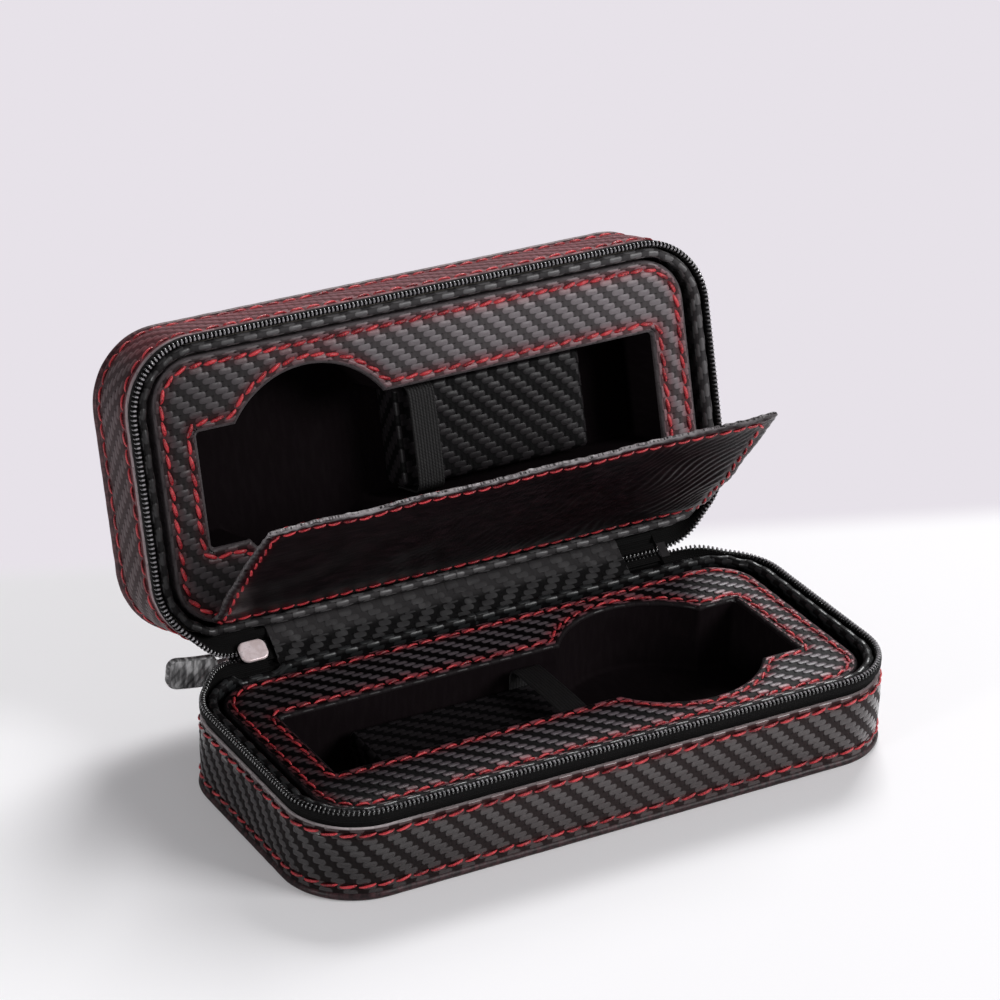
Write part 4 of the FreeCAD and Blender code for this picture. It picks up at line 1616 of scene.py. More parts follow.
@dataclass
class Tray(Half):
    """Padded tray of one half: panel, its bed, the watch well, strap pad and elastic band."""

    corner_radius: float = 14.5
    seam_inset: float = 2.9
    well_seam_offset: float = 2.8
    well_corner: float = 1.5
    edge_round: float = 1.1
    seam_dip: float = 0.34
    puff: float = 0.35
    relief: float = 0.16
    floor_fillet: float = 1.6
    pad_gap: float = 1.6
    pad_stand_off: float = 1.5
    moat_depth: float = 7.0
    edge_step: float = FINE * 1.5
    rims: tuple = (0.0, 0.08, 0.25, 0.5, 0.8, 1.15)

    def __post_init__(self) -> None:
        """Read the tray's sizes from the frame."""
        super().__post_init__()
        panel_low, panel_high = node_box("base_tray_panel")
        liner_low, liner_high = node_box("base_well_liner")
        pad_low, pad_high = self.pad_box = node_box("base_strap_pad")
        self.top, self.under = panel_high[2], panel_low[2]
        self.panel = Outline(panel_high[0], panel_high[1], self.corner_radius)
        self.liner_thickness = pad_low[2] - liner_low[2]
        radius = liner_high[1] - self.liner_thickness
        self.well = WellOutline(liner_low[0] + self.liner_thickness, liner_high[0] - self.liner_thickness,
                                pad_high[1] + self.pad_gap, self.well_corner,
                                pad_high[0] + self.pad_stand_off + radius, radius)
        self.floor = pad_low[2]
        self.moat_floor = self.top - self.moat_depth
        self.bed_inset = self.outline.half_x - node_box("base_foam_insert")[1][0]
        self.finish = Finishes.lid_tray if self.is_lid else Finishes.base_tray

    def gaps(self, x: Array, y: Array) -> tuple[Array, Array]:
        """Distances inside the panel's edge and outside the cut-out."""
        return self.panel.gap(x, y), self.well.gap(x, y)

    def within(self, x: Array, y: Array) -> Array:
        """Distance to the nearest edge of the panel."""
        return np.minimum(*self.gaps(x, y))

    def seam_bells(self, outer: Array, inner: Array, width: float) -> Array:
        """Bells across both seams."""
        return bell(outer - self.seam_inset, width) + bell(inner - self.well_seam_offset, width)

    def surface_height(self, x: Array, y: Array) -> Array:
        """Height of the panel's top, from its rolled edges, seam grooves, padding and embossing.

        Args:
            x: Places along the case.
            y: Places across it.

        Returns:
            Heights on the base's drawing.
        """
        outer, inner = self.gaps(x, y)
        over = np.clip(1 - np.minimum(outer, inner) / self.edge_round, 0, 1)
        rolled = self.edge_round * (1 - np.sqrt(np.maximum(0, 1 - over**2)))
        groove = np.clip(self.seam_bells(outer, inner, 0.6), 0, 1)
        between = smooth(0.6, 3.5, outer - self.seam_inset) * smooth(0.6, 3.5, inner - self.well_seam_offset)
        clear = smooth(0.8, 1.5, outer) * smooth(0.8, 1.5, inner) * (1 - groove)
        rise = (self.puff + 0.06 * ripple(22, 4, x, y)) * between + self.relief * TWILL.relief(x, y) * clear
        return self.top - 0.15 - rolled - self.seam_dip * groove + rise

    def redness(self, points: Array) -> Array:
        """Dye from the thread beside both seams."""
        return np.clip(self.seam_bells(*self.gaps(points[:, 0], points[:, 1]), 2.0) * 0.8, 0, 1)

    def rolled(self, points: Array) -> Array:
        """Share of the smooth rolled edges and sides, where the twill is pulled flat."""
        return 1 - smooth(0.5, 1.3, self.within(points[:, 0], points[:, 1]))

    def build_panel(self) -> None:
        """Panel with rolled edges, seam grooves and embossing, down to the bed."""
        outer = []
        for rim in self.rims:
            ring = self.panel.inset(rim)
            outer.append(ring.at(self.panel.loop(self.edge_step) * ring.length / self.panel.length)[0])
        inner = [self.well.walk(rim, self.edge_step) for rim in self.rims]
        start = self.rims[-1]
        made = Patchwork()
        flat, triangles = filled([outer[-1], inner[-1]], lambda x, y: self.within(x, y) - start + 1e-4, FINE,
                                 self.within, start + FINE * 0.6)
        made.web(level(flat, self.surface_height(flat[:, 0], flat[:, 1])), triangles)
        for loops, bottom in ((outer, self.moat_floor), (inner, self.under)):
            rows = [level(loops[0], bottom)]
            rows += [level(loop, self.surface_height(loop[:, 0], loop[:, 1])) for loop in loops]
            v = np.array([bottom] + [self.top - 1 + rim for rim in self.rims])
            made.grid(np.stack(rows, 1), run_length(loops[0]), v, ring=True)
        sides, faces = filled([outer[0], inner[0]], self.within, 6.0, self.within, 3.0)
        at_well = self.well.gap(sides[:, 0], sides[:, 1]) < 1e-3
        made.web(level(sides, np.where(at_well, self.under, self.moat_floor)), faces)
        tints = {"redness": self.redness, "worn": self.rolled}
        self.finished(made, "tray_cover", "tray_panel", self.finish, tints)

    def build_bed(self) -> None:
        """Floor of the gap round the tray."""
        outside = self.outline.inset(self.bed_inset)
        distance = outside.loop(2.0)
        rim = outside.at(distance)[0]
        inside = self.panel.at(distance / outside.length * self.panel.length)[0]
        foot = self.moat_floor - 6.0
        levels = [(rim, foot), (rim, self.moat_floor + 0.1),
                  (rim * 0.5 + inside * 0.5, self.moat_floor - 0.2),
                  (inside * 0.97, self.moat_floor - 0.1), (inside * 0.97, foot)]
        net = np.stack([level(flat, z) for flat, z in levels], 1)
        made = Patchwork()
        made.grid(net, np.append(distance, outside.length), np.arange(6) * 4.0, ring=True, tube=True)
        piece = made.build(self.name("tray_bed"), self.place, Finishes.plain)
        dress(piece, self.body, Finishes.foam, self.name("foam_insert"))

    def build_liner(self) -> None:
        """Smooth tub of the watch well, with a filleted floor."""
        fillet, skin = self.floor_fillet, 0.05
        levels = [(self.liner_thickness, self.floor - 0.9), (self.liner_thickness, self.under + 0.05),
                  (0.15, self.under + 0.1), (skin, self.under - 0.4), (skin, self.floor + fillet)]
        levels += [(skin - fillet * (1 - math.cos(a)) * 0.95, self.floor + fillet * (1 - math.sin(a)))
                   for a in np.radians([30, 60, 90])]
        net = np.stack([level(self.well.walk(growth, 1.2), z) for growth, z in levels], 1)
        made = Patchwork()
        made.grid(net, run_length(net[:, 1]), np.array([z for _, z in levels]), ring=True)
        for row in (0, -1):
            loop = net[:, row]
            flat, triangles = filled([loop[:, :2]], lambda x, y: -self.well.gap(x, y) + 1.2, 4.0,
                                     lambda x, y: -self.well.gap(x, y), 3.0)
            made.web(level(flat, loop[0, 2]), triangles)
        self.finished(made, "well_tub", "well_liner", Finishes.plain)

    def build_pad(self) -> None:
        """Crowned strap pad whose sides draw in at the floor."""
        low, high = self.pad_box
        middle, half = (low + high) / 2, (high - low) / 2
        outline = Outline(half[0], half[1], 2.4)
        distance = outline.loop(COARSE)
        foot, top = low[2], high[2]
        shell = np.array([(1.2, foot + 0.02), (0.5, foot + 0.35), (0.15, foot + 2.0), (0.0, middle[2]),
                          (0.05, top - 2.6), (0.25, top - 1.5), (0.7, top - 0.75), (1.4, top - 0.25)])
        net = beside(outline.at(distance), shell[:, 0], shell[:, 1])
        made = Patchwork()
        made.grid(net, np.append(distance, outline.length), shell[:, 1], ring=True)
        rim = outline.inset(shell[-1, 0])
        flat, triangles = filled([net[:, -1, :2]], rim.gap, COARSE, rim.gap, 0.3)
        depth = rim.gap(flat[:, 0], flat[:, 1])
        raised = 0.12 * TWILL.relief(flat[:, 0], flat[:, 1]) * smooth(0.2, 1.2, depth)
        made.web(level(flat, top - 0.25 + 0.25 * smooth(0, 7, depth) + raised), triangles)
        made.cap(net[:, 0])
        place = self.place @ Matrix.Translation((middle[0], middle[1], 0))
        piece = made.build(self.name("strap_cushion"), place, Finishes.pad)
        dress(piece, self.body, Finishes.pad, self.name("strap_pad"))

    def build_band(self) -> None:
        """Ribbed elastic arched over the pad."""
        low, high = node_box("base_elastic_band")
        width, thickness, shoulder, ribs = high[0] - low[0], 0.9, 3.4, 9
        reach, top = high[1] - thickness / 2, high[2] - thickness / 2
        half_line = [(-reach, low[2]), (-reach, (low[2] + top) / 2)]
        half_line += [(-reach + shoulder * (1 - math.cos(a)), top - shoulder * (1 - math.sin(a)))
                      for a in np.linspace(0, math.pi / 2, 9)]
        half_line += [(y, top + 0.25 * math.cos(y / reach * math.pi / 2))
                      for y in np.linspace(-reach + shoulder + 2, 0, 6)]
        line = np.array(half_line + [(-y, z) for y, z in half_line[::-1][1:]])
        tangent = np.gradient(line, axis=0)
        tangent /= np.linalg.norm(tangent, axis=1)[:, None]
        outward = np.column_stack([-tangent[:, 1], tangent[:, 0]])
        across = np.linspace(0, 1, ribs * 6 + 1)
        ridge = 0.5 * thickness * (0.62 + 0.38 * np.abs(np.sin(across * ribs * math.pi)))
        ridge[[0, -1]] = 0.15
        x = low[0] + np.concatenate([across, across[::-1]]) * width
        off = np.concatenate([ridge, -ridge[::-1]])
        points = np.empty((len(line), len(x), 3))
        points[..., 0] = x
        points[..., 1:] = line[:, None, :] + outward[:, None, :] * off[None, :, None]
        steps = run_length(line, closed=False)
        made = Patchwork()
        made.rod(points, steps, np.append(x, x[0]))
        piece = self.finished(made, "elastic_loop", "elastic_band", Finishes.elastic)
        self.name("strap_cushion")

    def seams(self) -> None:
        """Stitches round the panel's edge and round the cut-out."""
        rim = self.panel.inset(self.seam_inset)
        stitch = self.supplies.thick_stitch if self.is_lid else self.supplies.fine_stitch
        height = self.top - 0.15 - self.seam_dip + 0.28
        for label, flat, seed, nodes in (
                ("rim_seam", rim.at(rim.loop(0.8))[0], 21, (self.name("tray_thread"),)),
                ("well_seam", self.well.walk(self.well_seam_offset, 0.8), 22, ())):
            path = Path.facing(level(flat, height)).placed(self.place)
            self.supplies.sew(self.name(label), self.body, path, stitch, seed, *nodes)

    def build(self) -> None:
        """Make every piece of the tray."""
        self.build_panel()
        self.build_bed()
        self.build_liner()
        self.build_pad()
        self.build_band()
        self.seams()


# Spine, flap and pull


@dataclass
class Spine:
    """Soft spine: an outer cover and an inner lining, each in two halves that fold."""

    ring: ZipRing
    bend_half: float = 1.4
    web_left: float = -79.0
    web_right: float = 74.0
    web_lap: float = 5.0
    tail_lap: float = 6.0

    def _half(self, name: str, profile: Array, lower: bool, finish: Finish, span: Spot, creases: float,
              *nodes: str) -> None:
        """One half of a layer, from a body's edge to the middle of the spine.

        Args:
            name: Name of the piece.
            profile: Section of the lower half, as inset from the back and height on the shut case.
            lower: Whether it joins the base rather than the lid.
            finish: Finish of the layer.
            span: Its two ends along the case.
            creases: Depth of the cross creases.
            nodes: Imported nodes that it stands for.
        """
        line = FOLDING.base_line if lower else FOLDING.lid_line
        height = profile[:, 1] if lower else 2 * FOLDING.half_height - profile[:, 1]
        x = np.arange(span[0], span[1] + 0.01, 0.7)
        xx, ii = np.meshgrid(x, profile[:, 0], indexing="ij")
        zz = np.broadcast_to(height, xx.shape)
        share = np.clip((np.abs(zz - FOLDING.half_height) - 0.5) / 6, 0, 1)
        wave = ripple(8.5, 17, xx + zz * 0.5, zz * 0.45)
        points = np.stack([xx, line.y - ii - creases * wave * (1 - share * 0.6), zz], 2)
        weight = smooth(line.z - self.bend_half, line.z + self.bend_half, zz)
        points = FOLDING.base_bend(points, weight) if lower else FOLDING.lid_bend(points, weight)
        made = Patchwork()
        made.rod(points, x, run_length(np.column_stack([profile[:, 0], height])))
        tints = {"worn": self.pale} if finish is Finishes.lining else None
        piece = made.build(name, Matrix.Identity(4), finish, tints)
        before, after = line - Vector((0, 0, self.bend_half)), line + Vector((0, 0, self.bend_half))
        if lower:
            dress_between(piece, ("base", "spine"), (before, FOLDING.spine @ after), finish, *nodes)
        else:
            ends = (FOLDING.spine @ before, FOLDING.lid @ after)
            dress_between(piece, ("spine", "lid"), ends, finish, *nodes)

    @staticmethod
    def pale(points: Array) -> Array:
        """Share of the lining's half next to the lid, painted paler as a sheen where its roll catches the light.
        """
        shut = moved(FOLDING.spine.inverted(), points)
        return smooth(FOLDING.half_height - 1.0, FOLDING.half_height + 2.0, shut[:, 2]) * 0.85

    @staticmethod
    def _layer(inset: Array, height: Array, thickness: float) -> Array:
        """Closed section of a layer from its outer line."""
        back = np.column_stack([inset[::-1] + thickness, height[::-1]])
        return np.vstack([np.column_stack([inset, height]), back])

    def build(self) -> None:
        """Make the cover, the lining and the webs of tape beside them."""
        low, high = node_box("spine_cover")
        ends = (low[0], high[0])
        middle, wall = FOLDING.half_height, FOLDING.base_line.z
        height = np.concatenate([np.linspace(wall - 2.2, wall + 1.8, 9), np.linspace(wall + 2.4, middle, 6)])
        cover = self._layer(1.95 - 1.35 * smooth(wall - 1.5, wall + 1.5, height), height, 0.8)
        height = np.concatenate([np.linspace(wall - 0.4, wall + 2.6, 9), np.linspace(wall + 3.1, middle, 7)])
        lining = self._layer(2.3 - 0.2 * smooth(wall, middle, height), height, 0.7)
        web = self._layer(2.3 - 1.75 * smooth(wall + 0.2, wall + 2.4, height), height, 0.35)
        for lower, label in ((True, "base"), (False, "lid")):
            for part, profile, finish, creases in (("cover", cover, Finishes.base_wall, 0.18),
                                                   ("lining", lining, Finishes.lining, 0.3)):
                nodes = (f"spine_{part}",) if lower else ()
                self._half(f"{label}_spine_{part}", profile, lower, finish, ends, creases, *nodes)
            for place, span in (("left", (self.web_left, ends[0] + self.web_lap)),
                                ("right", (ends[1] - self.web_lap, self.web_right))):
                self._half(f"{label}_web_{place}", web, lower, Finishes.tape, span, 0.05)
        self.tails(ends)
        self.chain()

    def tails(self, ends: Spot) -> None:
        """Joined tape ends in the spine, which run under the cover's two ends."""
        low, high = node_box("zip_tails")
        made = Patchwork()
        section = np.array([[-0.3, -3.2], [0.3, -3.2], [0.3, 3.2], [-0.3, 3.2]])
        for start, end in ((low[0], ends[0] + self.tail_lap), (ends[1] - self.tail_lap, high[0] - 0.4)):
            x = np.linspace(start, end, 12)
            net = np.empty((len(x), 4, 3))
            net[..., 0] = x[:, None]
            net[..., 1] = FOLDING.base_line.y - self.ring.coil_inset - section[:, 0]
            net[..., 2] = FOLDING.half_height + section[:, 1]
            made.rod(net, x, np.array([0, 0.6, 7.0, 7.6, 14.0]))
        piece = made.build("joined_tape_ends", FOLDING.spine, Finishes.tape)
        dress(piece, "spine", Finishes.tape, "zip_tails")

    def chain(self) -> None:
        """Closed run of the zip at the right end: two rows of teeth that face each other."""
        low, high = node_box("zip_chain")
        x = np.linspace(low[0], high[0], 20)
        back = np.full(len(x), FOLDING.base_line.y - self.ring.coil_inset)
        for label, side, nodes in (("chain_lower", -1.0, ("zip_chain",)), ("chain_upper", 1.0, ())):
            points = level(np.column_stack([x, back]), FOLDING.half_height + side * 1.25)
            path = Path.facing(points, -side, closed=False).placed(FOLDING.spine)
            coil = self.ring.supplies.teeth(label, path, Finishes.coil, 9, 0.0)
            dress(coil, "spine", Finishes.coil, *nodes)


@dataclass
class Flap:
    """Divider flap: two leatherette plies that curl, their seam and the hinge strip."""

    supplies: Supplies
    half_length: float = 84.8
    width: float = 67.0
    thickness: float = 1.8
    hinge_radius: float = 8.0
    free_radius: float = 1.4
    seam_inset: float = 2.8
    lean: float = -2.1
    left_curl: float = 1.5
    right_curl: float = -2.0
    board_margin: float = 5.0
    ear: float = 2.0
    wrinkle: float = 0.2
    wrinkle_pitch: float = 3.2
    keep: float = 0.3
    strip_half: float = 75.0

    def curl(self, x: Array, reach: Array) -> Array:
        """Height of the flap off its flat plane.

        Args:
            x: Places along the hinge.
            reach: Distances from the hinge.

        Returns:
            Heights, towards the lid's tray where negative.
        """
        share = reach / self.width
        side = x / self.half_length
        depth = self.left_curl * np.clip(0.5 - side / 2, 0, 1)
        depth += self.right_curl * np.clip(0.5 + side / 2, 0, 1)
        arch = depth * np.sin(np.clip(share, 0, 1) * math.pi)
        lean = self.lean * smooth(0, 0.22, share)
        return arch + lean + 0.25 * ripple(24, 12, x, reach) * smooth(0, 0.15, share)

    def half_at(self, reach: Array) -> Array:
        """Half length of the flap at a distance from the hinge."""
        near = np.clip(1 - reach / self.hinge_radius, 0, 1)
        far = np.clip(1 - (self.width - reach) / self.free_radius, 0, 1)
        cut = self.hinge_radius * (1 - np.sqrt(1 - near**2)) + self.free_radius * (1 - np.sqrt(1 - far**2))
        return self.half_length - cut

    def layer(self, name: str, under: float, over: float, margin: float, finish: Finish, node: str) -> None:
        """One layer of the flap, drawn together at its rim.

        Args:
            name: Name of the piece.
            under: Height of its lower face off the middle plane.
            over: Height of its upper face.
            margin: How far it stays inside the flap's outline.
            finish: Its surface.
            node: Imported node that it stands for.
        """
        reach = np.concatenate([np.linspace(0, self.hinge_radius, 14)[:-1],
                                np.linspace(self.hinge_radius, self.width - 3, 80)[:-1],
                                np.linspace(self.width - 3, self.width, 10)])
        half = self.half_at(reach) - margin
        reach = self.width / 2 + (reach - self.width / 2) * (1 - 2 * margin / self.width)
        side = np.linspace(-1, 1, 281)
        rr, ss = np.meshgrid(reach, side, indexing="ij")
        xx = ss * half[:, None] + self.ear * smooth(0.6, 1.0, rr / self.width) * smooth(0.8, 1.0, ss)
        height = self.curl(xx, rr)
        edge = np.minimum(np.minimum(rr - margin, self.width - margin - rr), (1 - np.abs(ss)) * half[:, None])
        phase = (1.16 * xx - rr) / 1.53 / self.wrinkle_pitch + 1.1 * ripple(26, 19, xx, rr)
        wrinkle = self.wrinkle * np.sin(2 * math.pi * phase) * smooth(-45, 30, xx) * smooth(3.6, 6.5, edge)
        lumps = 0.14 * ripple(2.6, 15, xx, rr) * smooth(2.2, 0.8, edge)
        nets = []
        for off in (under, over):
            if abs(off) > self.thickness / 3:
                offset = off * (0.4 + 0.6 * smooth(0, 1.1, edge))
                offset += lumps + wrinkle - np.sign(off) * 0.14 * bell(edge - self.seam_inset, 0.6)
            else:
                offset = off * smooth(3.4, 4.8, edge + margin)
            line = FOLDING.flap_line
            nets.append(np.stack([xx, line.y - rr, line.z + height + offset], 2))
        made = Patchwork()
        for net in nets:
            made.grid(net, reach, side * self.half_length)
        border = [np.concatenate([net[0, :-1], net[:-1, -1], net[-1, :0:-1], net[:0:-1, 0]]) for net in nets]
        ring = np.stack(border, 1)
        made.grid(ring, np.arange(len(ring) + 1) * 1.4, np.array([0.0, 0.9]), ring=True)
        piece = made.build(name, FOLDING.flap, finish, {"redness": self.redness, "worn": self.worn})
        dress(piece, "flap", finish, node)
        self.settle(piece)

    def rim(self, points: Array) -> Array:
        """Distance of points inside the flap's outline."""
        reach = FOLDING.flap_line.y - points[:, 1]
        return np.minimum(np.minimum(reach, self.width - reach), self.half_length - np.abs(points[:, 0]))

    def redness(self, points: Array) -> Array:
        """Dye from the thread beside the seam."""
        return bell(self.rim(points) - self.seam_inset, 1.6) * 0.8

    def worn(self, points: Array) -> Array:
        """Painted highlight on the rim, strongest along the free edge's left part."""
        reach = FOLDING.flap_line.y - points[:, 1]
        along = smooth(self.width - 4, self.width - 1, reach) * (1 - 0.8 * smooth(30, 80, points[:, 0]))
        return (1 - smooth(0.2, 1.1, self.rim(points))) * (0.3 + 0.7 * along)

    def settle(self, piece: bpy.types.Object) -> None:
        """Give the piece its own copy of its mesh."""
        normal = FOLDING.flap.to_3x3() @ Vector((0, 0, 1))
        anchor = FOLDING.flap @ FOLDING.flap_line
        tuple(anchor * MM)
        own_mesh(piece)

    def seams(self) -> None:
        """Stitches on both faces, along all four edges."""
        loop = Outline(self.half_length - self.seam_inset, self.width / 2 - self.seam_inset, self.free_radius)
        flat = loop.at(loop.loop(0.8))[0]
        reach = self.width / 2 - flat[:, 1]
        middle = FOLDING.flap_line.z + self.curl(flat[:, 0], reach)
        line = np.column_stack([flat[:, 0], FOLDING.flap_line.y - reach])
        for label, side, seed, nodes in (("flap_front_seam", -1.0, 31, ("flap_thread",)),
                                         ("flap_back_seam", 1.0, 32, ())):
            points = level(line, middle + side * (self.thickness / 2 + 0.02))
            path = Path.facing(points, side).placed(FOLDING.flap)
            self.settle(self.supplies.sew(label, "flap", path, self.supplies.fine_stitch, seed, *nodes))

    def strip(self) -> None:
        """Hinge strip from the gap behind the tray to the flap's rolled edge."""
        line = FOLDING.flap_line
        foot = 2 * FOLDING.half_height - node_box("base_tray_panel")[1][2] + Tray.moat_depth - line.z
        path = np.array([[1.05, foot], [1.0, 3.0], [0.75, 1.2], [0.35, 0.2], [-0.6, -0.35], [-2.4, -0.45],
                         [-2.4, -0.15], [-0.6, 0.1], [0.0, 0.6], [0.3, 1.4], [0.45, 3.0], [0.5, foot]])
        x = np.linspace(-self.strip_half, self.strip_half, 60)
        net = np.empty((len(x), len(path), 3))
        net[..., 0] = x[:, None]
        net[..., 1:] = np.array([line.y, line.z]) + path
        opening = math.degrees((FOLDING.lid.inverted() @ FOLDING.flap).to_euler().x)
        weight = 1 - smooth(-0.2, 1.6, net[..., 2] - line.z)
        made = Patchwork()
        points = moved(FOLDING.lid, swung(net, line, opening * weight))
        made.rod(points, x, np.arange(len(path) + 1) * 1.2)
        piece = made.build("flap_hinge_fold", Matrix.Identity(4), Finishes.flap)
        start = FOLDING.lid @ Vector((0, line.y, line.z + 1.6))
        end = FOLDING.flap @ Vector((0, line.y, line.z - 0.2))
        dress_between(piece, ("lid", "flap"), (start, end), Finishes.flap, "flap_hinge_strip")

    def build(self) -> None:
        """Make the flap."""
        outside, inside = self.thickness / 2, self.thickness / 6
        self.layer("flap_front", -outside, -inside, 0.0, Finishes.flap, "flap_front_ply")
        self.layer("flap_back", inside, outside, 0.0, Finishes.flap, "flap_back_ply")
        self.layer("flap_stiffener", -inside * 0.9, inside * 0.9, self.board_margin, Finishes.board,
                   "flap_board")
        self.seams()
        self.strip()


@dataclass
class PullTab:
    """Leatherette tab on the slider's link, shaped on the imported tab."""

    bow: float = 0.8
    rib_pitch: float = 2.3
    corner: float = 3.2

    def build(self) -> None:
        """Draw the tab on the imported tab's own axes, with a bow and rounded rims."""
        node = frame["nodes"]["pull_tab"]
        points = np.array([vertex.co[:] for vertex in node.data.vertices]) / MM
        centre = (points.min(0) + points.max(0)) / 2
        _, _, axes = np.linalg.svd(points - points.mean(0), full_matrices=False)
        if np.linalg.det(axes) < 0:
            axes[2] *= -1
        reach = (points - centre) @ axes.T
        centre = centre + ((reach.min(0) + reach.max(0)) / 2) @ axes
        half = (reach.max(0) - reach.min(0)) / 2
        outline = Outline(half[0], half[1], self.corner)
        distance = outline.loop(0.5)
        face = half[2]
        rim = np.array([(0.45, -face), (0.12, -face + 0.2), (0.0, -face * 0.5), (0.12, -0.12), (0.12, 0.12),
                        (0.0, face * 0.5), (0.12, face - 0.2), (0.45, face)])
        net = beside(outline.at(distance), rim[:, 0], rim[:, 1])
        inner = outline.inset(rim[0, 0])
        flat, triangles = filled([net[:, 0, :2]], inner.gap, 0.5, inner.gap, 0.3)
        depth = inner.gap(flat[:, 0], flat[:, 1])
        slant = np.sin((flat[:, 0] + 0.8 * flat[:, 1]) * 2 * math.pi / self.rib_pitch)
        swell = 0.15 * smooth(0, 1.5, depth) + 0.16 * slant * smooth(0.2, 1, depth)
        nets = [net, level(flat, -face - swell), level(flat, face + swell)]
        for shape in nets:
            shape[..., 2] += self.bow * (shape[..., 0] / half[0]) ** 2 - self.bow / 2
        made = Patchwork()
        made.grid(nets[0], np.append(distance, outline.length), np.arange(len(rim)) * 0.4, ring=True)
        made.web(nets[1], triangles)
        made.web(nets[2], triangles)
        place = Matrix.Translation(Vector(centre)) @ Matrix(axes.T.tolist()).to_4x4()
        dress(made.build("pull_grip", place, Finishes.tab), "pull", Finishes.tab, "pull_tab")


class Hardware:
    """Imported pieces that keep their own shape."""

    FINISHES = {"zip_slider": Finishes.metal, "zip_slider_bridge": Finishes.metal,
                "pull_link": Finishes.metal,
                "zip_end_stop": Finishes.dark_metal, "base_bottom_board": Finishes.board,
                "lid_top_board": Finishes.board, "base_wall_board": Finishes.board,
                "lid_wall_board": Finishes.board, "spine_padding": Finishes.foam}

    def dress(self) -> None:
        """Give each of these nodes its finish."""
        for name, finish in self.FINISHES.items():
            node = frame["nodes"][name]
            node.data.materials.clear()
            node.data.materials.append(finish.material())
            log.info("%s keeps its shape", name)


# Studio


@dataclass(frozen=True)
class Lamp:
    """Square soft lamp."""

    name: str
    place: tuple[float, float, float]
    size: float
    power: float

    def build(self, target: Vector) -> None:
        """Set the lamp so that it faces a target."""
        data = bpy.data.lights.new(self.name, "AREA")
        data.size = self.size
        data.energy = self.power
        lamp = bpy.data.objects.new(self.name, data)
        lamp.location = self.place
        lamp.rotation_mode = "QUATERNION"
        lamp.rotation_quaternion = (target - Vector(self.place)).to_track_quat("-Z", "Y")
        bpy.context.scene.collection.objects.link(lamp)


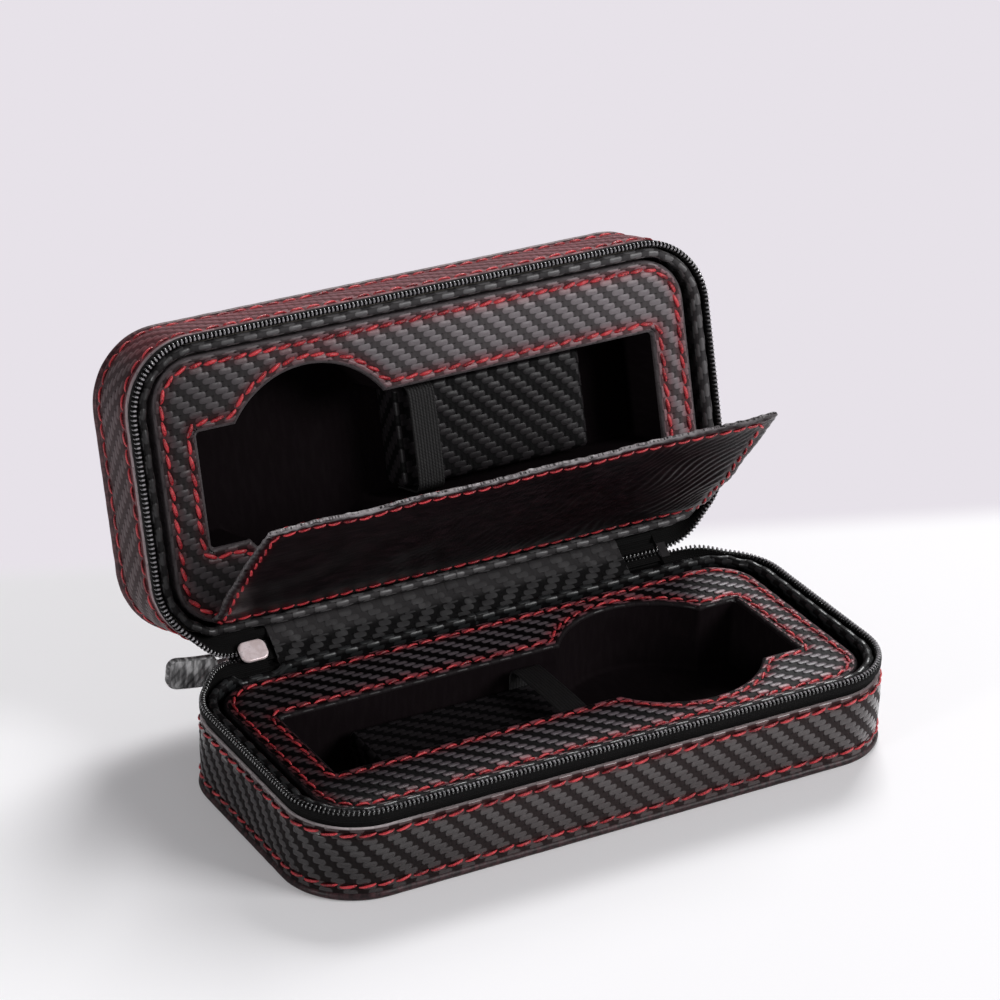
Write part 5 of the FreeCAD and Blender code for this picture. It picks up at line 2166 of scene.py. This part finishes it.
@dataclass
class Studio:
    """Plain pale floor, soft lamps and the camera at the photographed angle."""

    azimuth: float = -30.067
    elevation: float = 26.795
    roll: float = 1.144
    distance: float = 1.2016
    target: tuple[float, float, float] = (0.012983, 0.05111, 0.060447)
    lens: float = 141.9
    floor_half: float = 6.0
    floor_colour: tuple = colour(246, 245, 247)
    backdrop_colour: tuple = colour(231, 226, 233)
    surroundings: tuple = colour(240, 238, 242)
    horizon_slope: float = 0.363
    horizon: Spot = (0.137, 0.158)
    evened_out: float = 0.2
    lamps: tuple = (Lamp("key", (1.7, 2.0, 2.6), 1.3, 112), Lamp("front", (2.2, -2.4, 1.8), 1.6, 92),
                    Lamp("side", (-1.6, -0.5, 0.35), 0.22, 6))

    def camera(self) -> None:
        """Camera with the roll of the photograph."""
        data = bpy.data.cameras.new("camera")
        data.lens = self.lens
        data.clip_end = 50
        eye = bpy.data.objects.new("camera", data)
        bpy.context.scene.collection.objects.link(eye)
        a, e = math.radians(self.azimuth), math.radians(self.elevation)
        back = Vector((math.sin(a) * math.cos(e), -math.cos(a) * math.cos(e), math.sin(e)))
        eye.rotation_mode = "QUATERNION"
        upright = (-back).to_track_quat("-Z", "Y")
        eye.rotation_quaternion = upright @ Euler((0, 0, math.radians(self.roll))).to_quaternion()
        eye.location = Vector(self.target) + back * self.distance
        bpy.context.scene.camera = eye

    def floor(self) -> None:
        """Floor that turns into the backdrop's colour behind the case."""
        half = self.floor_half
        mesh = bpy.data.meshes.new("floor")
        corners = [(-half, -half, 0), (half, -half, 0), (half, half, 0), (-half, half, 0)]
        mesh.from_pydata(corners, [], [(0, 1, 2, 3)])
        piece = bpy.data.objects.new("floor", mesh)
        bpy.context.scene.collection.objects.link(piece)
        made = bpy.data.materials.new("floor")
        made.use_nodes = True
        made.node_tree.nodes.clear()
        graph = Graph(made.node_tree)
        x, y = graph.axes(graph.place())
        behind = (y + x * self.horizon_slope).rise(*self.horizon)
        shade = graph.blend(behind, self.floor_colour, self.backdrop_colour)
        matte = graph.add("ShaderNodeBsdfDiffuse", {}, {"Color": shade})
        glow = graph.add("ShaderNodeEmission", {}, {"Color": shade, "Strength": 1.0})
        seen = graph.add("ShaderNodeLightPath", {}, {}, "Is Camera Ray")
        even = behind * (1 - self.evened_out) + self.evened_out
        both = graph.add("ShaderNodeMixShader", {}, {0: seen * even, 1: matte, 2: glow})
        graph.add("ShaderNodeOutputMaterial", {}, {"Surface": both})
        mesh.materials.append(made)

    def world(self) -> None:
        """Even pale surroundings, with the backdrop's colour where the camera sees them."""
        world = bpy.data.worlds.new("studio")
        world.use_nodes = True
        world.node_tree.nodes.clear()
        graph = Graph(world.node_tree)
        seen = graph.add("ShaderNodeLightPath", {}, {}, "Is Camera Ray")
        soft = graph.add("ShaderNodeBackground", {}, {"Color": self.surroundings, "Strength": 0.2})
        backdrop = graph.add("ShaderNodeBackground", {}, {"Color": self.backdrop_colour, "Strength": 1.0})
        both = graph.add("ShaderNodeMixShader", {}, {0: seen, 1: soft, 2: backdrop})
        graph.add("ShaderNodeOutputWorld", {}, {"Surface": both})
        bpy.context.scene.world = world

    def build(self) -> None:
        """Set the whole studio."""
        self.camera()
        self.floor()
        self.world()
        for lamp in self.lamps:
            lamp.build(Vector(self.target))
        bpy.context.scene.view_settings.view_transform = "Standard"


def main() -> None:
    """Dress the case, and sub-assembly by sub-assembly."""
    logging.basicConfig(level=logging.INFO, format="%(message)s")
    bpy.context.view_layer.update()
    Studio().build()
    supplies = Supplies()
    edge = node_box("base_edge_welt")[1]
    outline = Outline(edge[0], edge[1], CORNER_RADIUS)
    for side in Side:
        for part in (Shell, ZipRing, Collar, Tray):
            part(side, supplies, outline).build()
    ring = ZipRing(Side.BASE, supplies, outline)
    ZipEnds(ring).build()
    Spine(ring).build()
    Flap(supplies).build()
    PullTab().build()
    Hardware().dress()


if __name__ == "__main__":
    main()
